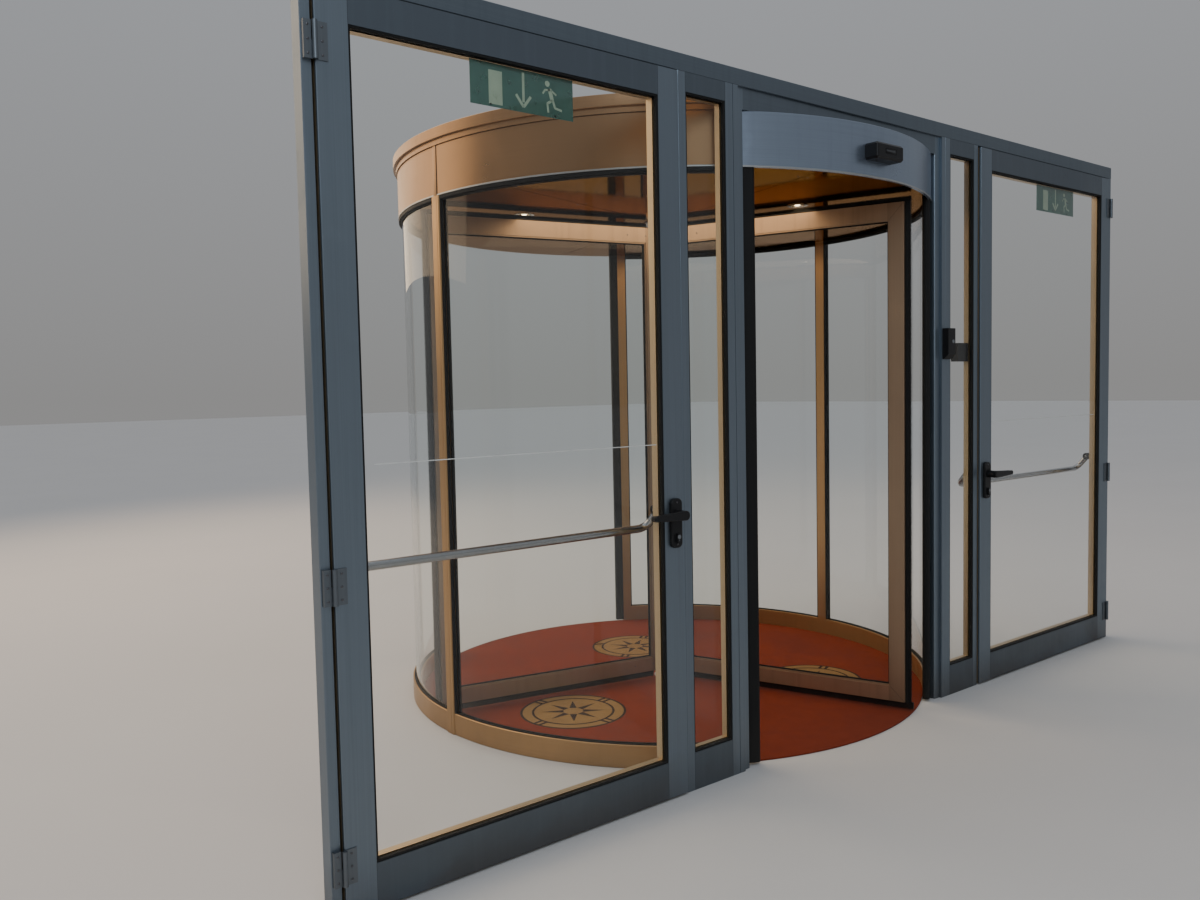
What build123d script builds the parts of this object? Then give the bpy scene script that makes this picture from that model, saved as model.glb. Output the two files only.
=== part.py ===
from build123d import *
from math import asin, cos, degrees, radians, sin, sqrt
import os

# A three-wing revolving door in an aluminium entrance front, with a narrow
# sidelight and an outward escape door on each side.
# Millimetres and degrees. The origin is on the floor, on the axis of the drum.
# -Y is the street, +Y the lobby, +Z up.

os.makedirs("parts", exist_ok=True)

# Drum
drum_radius = 1246.0
wall_thickness = 40.0
clear_height = 2223.0
lobby_opening = 60.0
base_height = 90.0
channel_height = 16.0
glass_thickness = 10.0
glazing_slack = 0.5
glazing_depth = 10.0
glazing_play = 1.0
mid_post_width = 55.0
end_post_width = 47.0
post_proud = 4.0
post_round = 5.0
post_cap = 16.0
joint_width = 2.0
joint_depth = 2.0
gasket_width = 6.0
gasket_depth = 8.0
gasket_rise = 3.0
edge_break = 2.0
cut_margin = 1.0

# Floor
mat_thickness = 5.0
trim_width = 5.0
trim_height = 6.0
bearing_radius = 70.0
bearing_height = 12.0
spigot_radius = 15.0
spigot_depth = 9.0
seat_gap = 0.3

# Canopy
fascia_height = 200.0
fascia_thickness = 12.0
fascia_lip = 6.0
cornice_height = 66.0
cornice_depth = 18.0
panel_thickness = 12.0
seam_width = 4.0
seam_depth = 2.0
seam_count = 6
light_count = 6
light_circle_radius = 708.0
light_phase = -74.0
light_radius = 46.0
light_well_radius = 36.0
light_mouth_radius = 30.0
light_bulb_radius = 20.0
light_proud = 2.0
light_depth = 60.0
collar_radius = 82.0
collar_height = 18.0
collar_step = 10.0
shaft_radius = 40.0
shaft_slack = 1.0
shaft_reach = 24.0

# Entrance front
canopy_reach = 133.0
frame_depth = 50.0
post_width = 37.0
post_setback = 11.0
post_return = 26.5
post_corner = 7.0
side_groove_place = 8.0
side_groove_width = 4.0
side_groove_depth = 3.0
post_lap = 14.0
sidelight_width = 195.0
sidelight_stile = 40.0
gate_stile = 35.5
sidelight_rail = 135.0
sidelight_top = 66.0
head_panel_height = 77.0
head_height = 60.0
jamb_width = 30.0
glass_setback = 14.0
bead_width = 7.0
bead_depth = 8.0
stop_lap = 12.0
stop_depth = 15.0
stop_root = 8.0

# Rotor
wing_count = 3
rest_angle = -71.5
wing_depth = 40.0
wing_stile = 70.0
wing_inner_stile = 50.0
wing_bottom_rail = 70.0
wing_top_rail = 76.0
wing_bead_width = 6.0
wing_bead_depth = 5.0
brush_width = 25.0
brush_depth = 33.0
brush_thickness = 12.0
wall_clearance = 6.0
floor_clearance = 5.5
ceiling_clearance = 8.0
column_radius = 45.0
lug_reach = 55.0

# Escape doors
door_width = 1290.0
door_depth = 55.0
leaf_proud = 10.0
door_stile = 93.0
door_bottom_rail = 127.0
door_top_rail = 94.0
door_floor_gap = 8.0
door_head_gap = 6.0
leaf_gap = 8.0
hinge_gap = 6.0

# Hinges
knuckle_radius = 7.0
knuckle_stand_off = 8.0
hinge_length = 98.0
hinge_wing = 34.0
jamb_wing = 26.0
hinge_plate = 3.0
hinge_link = 2.0
hinge_pin_radius = 3.5
hinge_pin_length = 24.0
low_hinge_height = 152.0
mid_hinge_height = 918.0
top_hinge_drop = 154.0
hinge_slack = 0.3

# Lever handle
handle_height = 995.0
plate_width = 50.0
plate_height = 170.0
plate_corner = 18.0
plate_round = 4.0
plate_drop = 30.0
plate_thickness = 13.0
lever_reach = 48.0
lever_length = 142.0
lever_thickness = 15.0
lever_return = 9.0
lever_round = 4.0
hub_radius = 16.5
tip_radius = 10.0
key_drop = 82.0
key_height = 34.0
key_width = 17.0
key_proud = 9.0

# Push bar inside each escape door
bar_radius = 14.0
bar_pivot_height = 1005.0
bar_pivot_reach = 34.0
bar_out = 58.0
bar_drop = 70.0
bar_bend = 42.0
boss_radius = 17.0
boss_width = 26.0
cheek_thickness = 6.0
cheek_gap = 1.0
bracket_height = 130.0
bracket_plate = 12.0
stub_radius = 6.0
stub_slack = 0.3

# Sensors and boxes
sensor_width = 170.0
sensor_depth = 56.0
sensor_height = 62.0
sensor_rise = 92.0
sensor_round = 9.0
sensor_bevel = 8.0
window_width = 70.0
window_height = 22.0
window_depth = 1.5
reader_width = 56.0
reader_height = 136.0
reader_depth = 30.0
reader_taper = 22.0
reader_foot = 6.0
reader_offset = 8.5
reader_center_z = 1597.0
lens_radius = 9.0
lens_shift = 10.0
switch_width = 85.0
switch_height = 84.0
switch_depth = 35.0
switch_setback = 4.0
box_corner = 4.0
switch_center_z = 1562.0

# Rubber safety edges
gate_rubber_width = 70.0
gate_rubber_thickness = 30.0
gate_rubber_nose = 12.0
rubber_width = 45.0
rubber_thickness = 34.0
rubber_foot = 10.0
rubber_nose = 9.0

# Radii and levels worked out from the sizes above
wall_inner = drum_radius - wall_thickness
wall_middle = drum_radius - wall_thickness / 2
pane_inner = wall_middle - glass_thickness / 2
pane_outer = wall_middle + glass_thickness / 2
slot_inner = pane_inner - glazing_slack
slot_outer = pane_outer + glazing_slack
slot_bottom = base_height - glazing_depth
canopy_top = clear_height + fascia_height
panel_radius = drum_radius - fascia_thickness
wall_top = clear_height - channel_height
slot_top = wall_top + glazing_depth
facade_offset = drum_radius - canopy_reach
frame_front = -facade_offset
frame_back = frame_depth - facade_offset
post_front = frame_front + post_setback
leaf_front = frame_front - leaf_proud
head_bottom = canopy_top + head_panel_height
wing_tip = wall_inner - wall_clearance
wing_outer = wing_tip - brush_width
brush_bottom = mat_thickness + floor_clearance
wing_bottom = brush_bottom + brush_depth
brush_top = clear_height - ceiling_clearance
wing_top = brush_top - brush_width
column_foot = bearing_height + seat_gap

# Places along the front, measured to the right of the drum axis
post_step = sqrt(drum_radius**2 - frame_back**2)
post_inner = post_step - post_width
post_outer = post_step + post_return
side_glass_start = post_outer + sidelight_stile
side_glass_end = side_glass_start + sidelight_width
sidelight_outer = side_glass_end + gate_stile
leaf_inner = sidelight_outer + leaf_gap
leaf_outer = leaf_inner + door_width
jamb_inner = leaf_outer + hinge_gap
jamb_outer = jamb_inner + jamb_width
leaf_bottom = door_floor_gap
leaf_top = head_bottom - door_head_gap
leaf_back = leaf_front + door_depth
hinge_x = leaf_outer + hinge_gap / 2
hinge_y = leaf_front - knuckle_stand_off
handle_x = leaf_inner + door_stile / 2
far_bracket_x = leaf_outer - door_stile / 2
hinge_heights = (low_hinge_height, mid_hinge_height, leaf_top - top_hinge_drop)
reader_center_x = post_outer + reader_offset
switch_center_x = side_glass_end - bead_width - switch_width / 2
switch_front = frame_front + glass_setback + glass_thickness + switch_setback
bar_pivot_y = leaf_back + bar_pivot_reach

# Angles round the drum, counted from +X towards the lobby
street_angle = degrees(asin((post_step + post_lap) / drum_radius)) - 90
post_angle = degrees(asin(post_inner / drum_radius)) - 90
lobby_angle = 90 - lobby_opening / 2
end_post_angle = degrees(end_post_width / wall_middle)
mid_post_angle = degrees(mid_post_width / wall_middle)
rubber_angle = degrees(rubber_width / wall_middle)
gate_rubber_inner = wall_middle - gate_rubber_thickness / 2
gate_rubber_root = degrees(asin(post_inner / gate_rubber_inner)) - 90
gate_rubber_tip = degrees(asin(post_inner / wall_middle) - gate_rubber_width / wall_middle) - 90
slot_angle = degrees(glazing_depth / wall_middle)
grip_angle = degrees((glazing_depth - glazing_play) / wall_middle)
gasket_angle = degrees(gasket_width / wall_middle)


def save(piece, label):
    """Label a finished piece and write it."""
    piece.part.label = label
    export_step(piece.part, f"parts/{label}.step")


def save_pair(piece, label):
    """Write the right-hand piece and its mirror image on the left."""
    save(piece, f"right_{label}")
    with BuildPart() as twin:
        mirror(piece.part, about=Plane.YZ)
    save(twin, f"left_{label}")


def upright(angle):
    """Vertical plane through the drum axis: x runs outwards, y runs up."""
    direction = (cos(radians(angle)), sin(radians(angle)), 0)
    normal = (sin(radians(angle)), -cos(radians(angle)), 0)
    return Plane(origin=(0, 0, 0), x_dir=direction, z_dir=normal)


def sector(inner, outer, start, end):
    """Outline of a ring sector in the current sketch."""
    with BuildLine() as outline:
        far = CenterArc((0, 0), outer, start, end - start)
        near = CenterArc((0, 0), inner, start, end - start)
        Line(near @ 0, far @ 0)
        Line(near @ 1, far @ 1)
    make_face(outline.edges())


def box_outline(left, right, low, high, mode=Mode.ADD):
    """Rectangle given by its sides in the current sketch."""
    with Locations(((left + right) / 2, (low + high) / 2)):
        Rectangle(abs(right - left), abs(high - low), mode=mode)


# Floor: the mat, the trim across the lobby opening and the foot bearing
with BuildPart() as floor_mat:
    with BuildSketch():
        Circle(wall_inner - seat_gap)
        Circle(bearing_radius, mode=Mode.SUBTRACT)
    extrude(amount=mat_thickness)
save(floor_mat, "floor_mat")

with BuildPart() as floor_trim:
    with BuildSketch():
        sector(wall_inner, wall_inner + trim_width, lobby_angle, 180 - lobby_angle)
    extrude(amount=trim_height)
save(floor_trim, "floor_trim")

with BuildPart() as floor_bearing:
    Cylinder(bearing_radius, bearing_height, align=(Align.CENTER, Align.CENTER, Align.MIN))
    chamfer(floor_bearing.edges().filter_by(GeomType.CIRCLE).sort_by(Axis.Z)[-1], edge_break)
    with Locations((0, 0, bearing_height)):
        Hole(spigot_radius + seat_gap, spigot_depth + seat_gap)
save(floor_bearing, "floor_bearing")


# Drum walls: curved rails with a glazing slot, panes, posts and rubber edges
def curved_rail(low, high, slot_low, slot_high):
    """Rail round one wall, slotted for the panes and cut where the mid post stands."""
    span = lobby_angle - end_post_angle - street_angle
    with BuildPart() as rail:
        with BuildSketch(upright(street_angle)):
            box_outline(wall_inner, drum_radius, low, high)
            chamfer(vertices(), edge_break)
            box_outline(slot_inner, slot_outer, slot_low, slot_high, Mode.SUBTRACT)
        revolve(axis=Axis.Z, revolution_arc=span)
        with BuildSketch(Plane.XY.offset(low)):
            near = wall_inner - cut_margin
            far = drum_radius + cut_margin
            sector(near, far, -mid_post_angle / 2, mid_post_angle / 2)
        extrude(amount=high - low, mode=Mode.SUBTRACT)
    return rail


def wall_post(start, end, slots):
    """Upright with a rounded, jointed outer face that stands a little proud of the wall."""
    face = drum_radius + post_proud
    joint_start = start + degrees(post_cap / face)
    joint_end = joint_start + degrees(joint_width / face)
    with BuildPart() as post:
        with BuildSketch():
            sector(wall_inner, face, start, end)
            fillet(vertices().sort_by_distance((0, 0))[-2:], post_round)
            with BuildSketch(mode=Mode.SUBTRACT):
                sector(face - joint_depth, face + cut_margin, joint_start, joint_end)
        extrude(amount=clear_height)
        with BuildSketch(Plane.XY.offset(slot_bottom)):
            if "street" in slots:
                sector(slot_inner, slot_outer, start, start + slot_angle)
            if "lobby" in slots:
                sector(slot_inner, slot_outer, end - slot_angle, end)
        extrude(amount=slot_top - slot_bottom, mode=Mode.SUBTRACT)
    return post


base_rail = curved_rail(0, base_height, slot_bottom, base_height)
save_pair(base_rail, "base_rail")

head_channel = curved_rail(wall_top, clear_height, wall_top, slot_top)
save_pair(head_channel, "head_channel")

mid_post = wall_post(-mid_post_angle / 2, mid_post_angle / 2, ("street", "lobby"))
end_post = wall_post(lobby_angle - end_post_angle, lobby_angle, ("street",))
with BuildPart() as wall_posts:
    add(mid_post.part)
    add(end_post.part)
save_pair(wall_posts, "wall_posts")

# The two lights of one wall, each from its street edge to its lobby edge
wall_lights = (
    (street_angle, -mid_post_angle / 2),
    (mid_post_angle / 2, lobby_angle - end_post_angle),
)
with BuildPart() as wall_glass:
    with BuildSketch(Plane.XY.offset(slot_bottom)):
        for start, end in wall_lights:
            sector(pane_inner, pane_outer, start - grip_angle, end + grip_angle)
    extrude(amount=slot_top - slot_bottom - glazing_play)
save_pair(wall_glass, "wall_glass")

# Black gasket frames against both faces of each pane: full depth beside the
# posts, narrow along the rails
gasket_faces = (
    (wall_inner + edge_break, pane_inner, pane_inner - gasket_depth, pane_inner),
    (pane_outer, drum_radius - edge_break, pane_outer, pane_outer + gasket_depth),
)
with BuildPart() as wall_gaskets:
    for start, end in wall_lights:
        for post_near, post_far, rail_near, rail_far in gasket_faces:
            with BuildSketch(Plane.XY.offset(base_height)):
                sector(post_near, post_far, start, start + gasket_angle)
                sector(post_near, post_far, end - gasket_angle, end)
            extrude(amount=wall_top - base_height)
            for level in (base_height, wall_top - gasket_rise):
                with BuildSketch(Plane.XY.offset(level)):
                    sector(rail_near, rail_far, start, end)
                extrude(amount=gasket_rise)
save_pair(wall_gaskets, "wall_gaskets")

# The drum post closes the wall at the street front: a rounded nose set back beside
# the opening, a face flush with the frames, and behind them the end of the curved wall
def jamb_plan(rounded):
    """Plan of the post's flat part in the current sketch."""
    with BuildLine() as outline:
        Polyline(
            (post_inner, frame_back),
            (post_inner, post_front),
            (post_step, post_front),
            (post_step, frame_front),
            (post_outer, frame_front),
            (post_outer, frame_back),
            close=True,
        )
    make_face(outline.edges())
    if rounded:
        nose = vertices().sort_by_distance((post_inner, post_front))[0]
        fillet(nose, post_corner)


with BuildPart() as drum_post:
    with BuildSketch():
        sector(wall_inner, drum_radius, post_angle, street_angle)
        box_outline(0, post_inner, -drum_radius, 0, Mode.SUBTRACT)
        jamb_plan(True)
        groove_front = post_front + side_groove_place
        groove_back = groove_front + side_groove_width
        groove_end = post_inner + side_groove_depth
        box_outline(post_inner, groove_end, groove_front, groove_back, Mode.SUBTRACT)
    extrude(amount=clear_height)
    with BuildSketch(Plane.XY.offset(clear_height)):
        jamb_plan(True)
        Circle(drum_radius, mode=Mode.SUBTRACT)
    extrude(amount=fascia_height)
    with BuildSketch(Plane.XY.offset(canopy_top)):
        jamb_plan(False)
    extrude(amount=head_bottom - canopy_top)
    with BuildSketch(Plane.XY.offset(slot_bottom)):
        sector(slot_inner, slot_outer, street_angle - slot_angle, street_angle)
    extrude(amount=slot_top - slot_bottom, mode=Mode.SUBTRACT)
save_pair(drum_post, "drum_post")

# Rubber edges stand in line with the wall at its street and lobby ends
with BuildPart() as street_edge:
    with BuildSketch(Plane.XY.offset(rubber_foot)):
        gate_rubber_outer = gate_rubber_inner + gate_rubber_thickness
        sector(gate_rubber_inner, gate_rubber_outer, gate_rubber_tip, gate_rubber_root)
        box_outline(post_inner, drum_radius, -drum_radius, 0, Mode.SUBTRACT)
        fillet(vertices().sort_by(Axis.X)[0:2], gate_rubber_nose)
    extrude(amount=clear_height - rubber_foot)
with BuildPart() as lobby_edge:
    with BuildSketch(Plane.XY.offset(rubber_foot)):
        rubber_inner = wall_middle - rubber_thickness / 2
        sector(rubber_inner, rubber_inner + rubber_thickness, lobby_angle, lobby_angle + rubber_angle)
        fillet(vertices().sort_by_distance((0, drum_radius))[0:2], rubber_nose)
    extrude(amount=clear_height - rubber_foot)
with BuildPart() as safety_edges:
    for side in (0, 1):
        for strip in (street_edge, lobby_edge):
            if side:
                mirror(strip.part, about=Plane.YZ)
            else:
                add(strip.part)
save(safety_edges, "safety_edges")


# Canopy: two curved fascias, ceiling, cover, cornice, lights and the top collar
def fascia(start, span):
    """Curved fascia with a folded lip along its lower edge."""
    with BuildPart() as skin:
        with BuildSketch(upright(start)):
            lip_edge = panel_radius - fascia_lip
            box_outline(panel_radius, drum_radius, clear_height, canopy_top)
            box_outline(lip_edge, panel_radius, canopy_top - panel_thickness, canopy_top)
            chamfer(vertices().sort_by(Axis.X)[-2:], edge_break)
        revolve(axis=Axis.Z, revolution_arc=span)
    return skin


save(fascia(180, 180), "street_fascia")
save(fascia(0, 180), "lobby_fascia")

with BuildPart() as ceiling_panel:
    with BuildSketch(Plane.XY.offset(clear_height)):
        Circle(panel_radius)
        Circle(shaft_radius + shaft_slack, mode=Mode.SUBTRACT)
        with PolarLocations(light_circle_radius, light_count, start_angle=light_phase):
            Circle(light_well_radius, mode=Mode.SUBTRACT)
    extrude(amount=panel_thickness)
    seam_length = panel_radius - collar_radius - wall_thickness
    with BuildSketch(Plane.XY.offset(clear_height)):
        seam_middle = collar_radius + seam_length / 2
        seam_phase = light_phase + 180 / light_count
        with PolarLocations(seam_middle, seam_count, start_angle=seam_phase):
            Rectangle(seam_length, seam_width)
    extrude(amount=seam_depth, mode=Mode.SUBTRACT)
save(ceiling_panel, "ceiling_panel")

with BuildPart() as canopy_cover:
    with BuildSketch(Plane.XY.offset(canopy_top - panel_thickness)):
        Circle(panel_radius - fascia_lip)
    extrude(amount=panel_thickness)
save(canopy_cover, "canopy_cover")

with BuildPart() as downlights:
    with PolarLocations(light_circle_radius, light_count, start_angle=light_phase):
        with Locations((0, 0, clear_height - light_proud)):
            Cylinder(light_radius, light_proud, align=(Align.CENTER, Align.CENTER, Align.MIN))
        with Locations((0, 0, clear_height)):
            Cylinder(light_well_radius, light_depth, align=(Align.CENTER, Align.CENTER, Align.MIN))
    with PolarLocations(light_circle_radius, light_count, start_angle=light_phase):
        with Locations((0, 0, clear_height - light_proud)):
            Cone(
                light_mouth_radius,
                light_bulb_radius,
                light_depth / 2,
                align=(Align.CENTER, Align.CENTER, Align.MIN),
                mode=Mode.SUBTRACT,
            )
save(downlights, "downlights")

with BuildPart() as ceiling_collar:
    with BuildSketch(Plane.XZ):
        collar_bore = shaft_radius + shaft_slack
        box_outline(collar_bore, collar_radius, clear_height - collar_height / 2, clear_height)
        box_outline(
            collar_bore,
            collar_radius - collar_step,
            clear_height - collar_height,
            clear_height - collar_height / 2,
        )
        chamfer(vertices().sort_by(Axis.X)[-4:], edge_break)
    revolve(axis=Axis.Z)
save(ceiling_collar, "ceiling_collar")

# The cornice steps out over the lobby side, behind the entrance front
cornice_start = degrees(asin(frame_back / (drum_radius + cornice_depth)))
with BuildPart() as lobby_cornice:
    with BuildSketch(upright(cornice_start)):
        step_level = canopy_top + cornice_height / 3
        cornice_top = canopy_top + cornice_height
        box_outline(panel_radius, drum_radius + cornice_depth / 3, canopy_top, step_level)
        box_outline(panel_radius, drum_radius + cornice_depth, step_level, cornice_top)
        chamfer(vertices().sort_by(Axis.X)[-2:], edge_break)
    revolve(axis=Axis.Z, revolution_arc=180 - 2 * cornice_start)
save(lobby_cornice, "lobby_cornice")

sensor_center = clear_height + sensor_rise
with BuildPart() as motion_sensors:
    for face_y in (-drum_radius, drum_radius):
        outwards = 1 if face_y > 0 else -1
        sag = drum_radius - sqrt(drum_radius**2 - (sensor_width / 2) ** 2)
        with BuildSketch(Plane.XY.offset(sensor_center - sensor_height / 2)):
            box_outline(
                -sensor_width / 2,
                sensor_width / 2,
                face_y - outwards * sag,
                face_y + outwards * sensor_depth,
            )
            fillet(vertices().sort_by(Axis.Y, reverse=face_y > 0)[:2], sensor_round)
            Circle(drum_radius, mode=Mode.SUBTRACT)
        extrude(amount=sensor_height)
        nose = faces().sort_by(Axis.Y, reverse=face_y > 0)[0]
        chamfer(nose.edges().filter_by(Axis.X), sensor_bevel)
        with BuildSketch(Plane.XZ.offset(-face_y - outwards * sensor_depth)):
            with Locations((0, sensor_center)):
                RectangleRounded(window_width, window_height, edge_break)
        extrude(amount=outwards * window_depth, mode=Mode.SUBTRACT)
save(motion_sensors, "motion_sensors")

# Entrance front: head, panel over the drum, jambs and sidelights
with BuildPart() as head_beam:
    with BuildSketch(Plane.XY.offset(head_bottom)):
        box_outline(-jamb_outer, jamb_outer, frame_front, frame_back)
    extrude(amount=head_height)
    chamfer(head_beam.edges().filter_by(Axis.X).sort_by(Axis.Y)[:2], edge_break)
save(head_beam, "head_beam")

with BuildPart() as drum_head_panel:
    with BuildSketch(Plane.XY.offset(canopy_top)):
        box_outline(-post_inner, post_inner, post_front, frame_back)
    extrude(amount=head_bottom - canopy_top)
save(drum_head_panel, "drum_head_panel")

with BuildPart() as jamb:
    with BuildSketch():
        box_outline(jamb_inner, jamb_outer, frame_front, frame_back)
        chamfer(vertices().sort_by(Axis.Y)[:2], edge_break)
    extrude(amount=head_bottom)
save_pair(jamb, "jamb")

# The stop that a leaf closes against, on the back of the frames round it
with BuildPart() as door_stop:
    with BuildSketch(Plane.XZ.offset(-frame_back)):
        box_outline(sidelight_outer - stop_root, jamb_inner + stop_root, 0, head_bottom + stop_root)
        box_outline(
            leaf_inner + stop_lap, leaf_outer - stop_lap, 0, leaf_top - stop_lap, Mode.SUBTRACT
        )
    extrude(amount=-stop_depth)
save_pair(door_stop, "door_stop")


front = Plane.XZ.offset(facade_offset)
leaf_face = Plane.XZ.offset(-leaf_front)


def glazed_frame(face, left, right, low, high, depth, borders):
    """Rectangular frame with a stepped bead and a slot that holds its pane."""
    border_left, border_right, border_low, border_high = borders
    light = (left + border_left, right - border_right, low + border_low, high - border_high)
    with BuildPart() as frame:
        with BuildSketch(face):
            box_outline(left, right, low, high)
        extrude(amount=-depth)
        outer_edges = frame.faces().sort_by(Axis.Y)[0].outer_wire().edges()
        chamfer(outer_edges.filter_by(Axis.Z), edge_break)
        with BuildSketch(face):
            box_outline(*light)
        extrude(amount=-bead_depth, mode=Mode.SUBTRACT)
        with BuildSketch(face):
            box_outline(
                light[0] + bead_width,
                light[1] - bead_width,
                light[2] + bead_width,
                light[3] - bead_width,
            )
        extrude(amount=-depth, mode=Mode.SUBTRACT)
        with BuildSketch(face.offset(-glass_setback)):
            box_outline(
                light[0] - glazing_depth,
                light[1] + glazing_depth,
                light[2] - glazing_depth,
                light[3] + glazing_depth,
            )
        extrude(amount=-glass_thickness, mode=Mode.SUBTRACT)
    with BuildPart() as pane:
        with BuildSketch(face.offset(-glass_setback)):
            box_outline(
                light[0] - glazing_depth + glazing_play,
                light[1] + glazing_depth - glazing_play,
                light[2] - glazing_depth,
                light[3] + glazing_depth - glazing_play,
            )
        extrude(amount=-glass_thickness)
    return frame, pane


side_borders = (sidelight_stile, gate_stile, sidelight_rail, sidelight_top)
side_frame, side_pane = glazed_frame(
    front, post_outer, sidelight_outer, 0, head_bottom, frame_depth, side_borders
)
save_pair(side_frame, "sidelight_frame")
save_pair(side_pane, "sidelight_glass")

# Beside the street opening a reader with a lens, and inside on the gate stile's
# reveal a switch box
reader_bottom = reader_center_z - reader_height / 2
reader_top = reader_center_z + reader_height / 2
with BuildPart() as control_boxes:
    with BuildSketch(Plane.YZ.offset(reader_center_x - reader_width / 2)):
        with BuildLine() as reader_side:
            Polyline(
                (frame_front, reader_bottom),
                (frame_front - reader_foot, reader_bottom),
                (frame_front - reader_depth, reader_bottom + reader_taper),
                (frame_front - reader_depth, reader_top),
                (frame_front, reader_top),
                close=True,
            )
        make_face(reader_side.edges())
    extrude(amount=reader_width)
    chamfer(faces().sort_by(Axis.Y)[0].edges(), edge_break)
    with BuildSketch(front.offset(reader_depth)):
        with Locations((reader_center_x + lens_shift, reader_center_z + lens_shift)):
            Circle(lens_radius)
    extrude(amount=-edge_break, mode=Mode.SUBTRACT)
    with BuildSketch(Plane.XZ.offset(-switch_front)):
        with Locations((switch_center_x, switch_center_z)):
            RectangleRounded(switch_width, switch_height, box_corner)
    extrude(amount=-switch_depth)
save(control_boxes, "control_boxes")


# Rotor: a column with three lugs, and three framed glass wings with brush seals
wing_angles = [rest_angle + 360 / wing_count * index for index in range(wing_count)]

with BuildPart() as centre_column:
    with BuildSketch(Plane.XY.offset(column_foot)):
        Circle(column_radius)
        for angle in wing_angles:
            with Locations(Rotation(0, 0, angle)):
                box_outline(0, lug_reach, -wing_depth / 2, wing_depth / 2)
    extrude(amount=wing_top - column_foot)
    with BuildSketch(Plane.XY.offset(wing_top)):
        Circle(shaft_radius)
    extrude(amount=clear_height + shaft_reach - wing_top)
    with BuildSketch(Plane.XY.offset(column_foot)):
        Circle(spigot_radius)
    extrude(amount=-spigot_depth)
save(centre_column, "centre_column")

wing_brushes = []
for number, angle in enumerate(wing_angles, start=1):
    plane = upright(angle)
    light = (
        lug_reach + wing_inner_stile,
        wing_outer - wing_stile,
        wing_bottom + wing_bottom_rail,
        wing_top - wing_top_rail,
    )
    with BuildPart() as wing_frame:
        with BuildSketch(plane):
            box_outline(lug_reach, wing_outer, wing_bottom, wing_top)
            box_outline(*light, Mode.SUBTRACT)
        extrude(amount=wing_depth / 2, both=True)
        for side in (-1, 1):
            with BuildSketch(plane.offset(side * wing_depth / 2)):
                box_outline(
                    light[0] - wing_bead_width,
                    light[1] + wing_bead_width,
                    light[2] - wing_bead_width,
                    light[3] + wing_bead_width,
                )
            extrude(amount=-side * wing_bead_depth, mode=Mode.SUBTRACT)
        with BuildSketch(plane):
            box_outline(
                light[0] - glazing_depth,
                light[1] + glazing_depth,
                light[2] - glazing_depth,
                light[3] + glazing_depth,
            )
        extrude(amount=glass_thickness / 2, both=True, mode=Mode.SUBTRACT)
    save(wing_frame, f"wing_{number}_frame")

    with BuildPart() as wing_glass:
        with BuildSketch(plane):
            box_outline(
                light[0] - glazing_depth + glazing_play,
                light[1] + glazing_depth - glazing_play,
                light[2] - glazing_depth,
                light[3] + glazing_depth - glazing_play,
            )
        extrude(amount=glass_thickness / 2, both=True)
    save(wing_glass, f"wing_{number}_glass")

    with BuildPart() as brush:
        with BuildSketch(plane):
            brush_start = collar_radius + wall_clearance
            box_outline(brush_start, wing_tip, brush_bottom, brush_top)
            box_outline(0, wing_outer, wing_bottom, wing_top, Mode.SUBTRACT)
        extrude(amount=brush_thickness / 2, both=True)
    wing_brushes.append(brush.part)

with BuildPart() as brushes:
    for brush_part in wing_brushes:
        add(brush_part)
save(brushes, "wing_brushes")

# Escape doors
door_borders = (door_stile, door_stile, door_bottom_rail, door_top_rail)
door_frame, door_pane = glazed_frame(
    leaf_face, leaf_inner, leaf_outer, leaf_bottom, leaf_top, door_depth, door_borders
)
save_pair(door_frame, "door_frame")
save_pair(door_pane, "door_glass")


def hinge_half(side, low_knuckle):
    """Plate and knuckle for every hinge height; side is +1 on the jamb, -1 on the leaf."""
    half = hinge_length / 2
    wing = jamb_wing if side > 0 else hinge_wing
    seat = frame_front if side > 0 else leaf_front
    clear = knuckle_radius + hinge_slack * 2
    with BuildPart() as hinge:
        for height in hinge_heights:
            bottom = height - half if low_knuckle else height + hinge_slack / 2
            top = height - hinge_slack / 2 if low_knuckle else height + half
            with BuildSketch(Plane.XY.offset(height - half)):
                near = hinge_x + side * clear
                far = hinge_x + side * (hinge_gap / 2 + wing)
                box_outline(near, far, leaf_front - hinge_plate, seat)
            extrude(amount=hinge_length)
            with BuildSketch(Plane.XY.offset(bottom)):
                with Locations((hinge_x, hinge_y)):
                    Circle(knuckle_radius)
                edge_x = hinge_x + side * clear
                link_front = leaf_front - hinge_plate
                box_outline(hinge_x, edge_x, link_front, link_front + hinge_link)
            extrude(amount=top - bottom)
            with BuildSketch(Plane.XY.offset(height - hinge_slack / 2)):
                with Locations((hinge_x, hinge_y)):
                    Circle(hinge_pin_radius if low_knuckle else hinge_pin_radius + hinge_slack)
            if low_knuckle:
                extrude(amount=hinge_pin_length)
            else:
                extrude(amount=hinge_pin_length + hinge_slack * 3, mode=Mode.SUBTRACT)
    return hinge


jamb_hinge = hinge_half(1, True)
save_pair(jamb_hinge, "jamb_hinges")
leaf_hinge = hinge_half(-1, False)
save_pair(leaf_hinge, "door_hinges")

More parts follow.
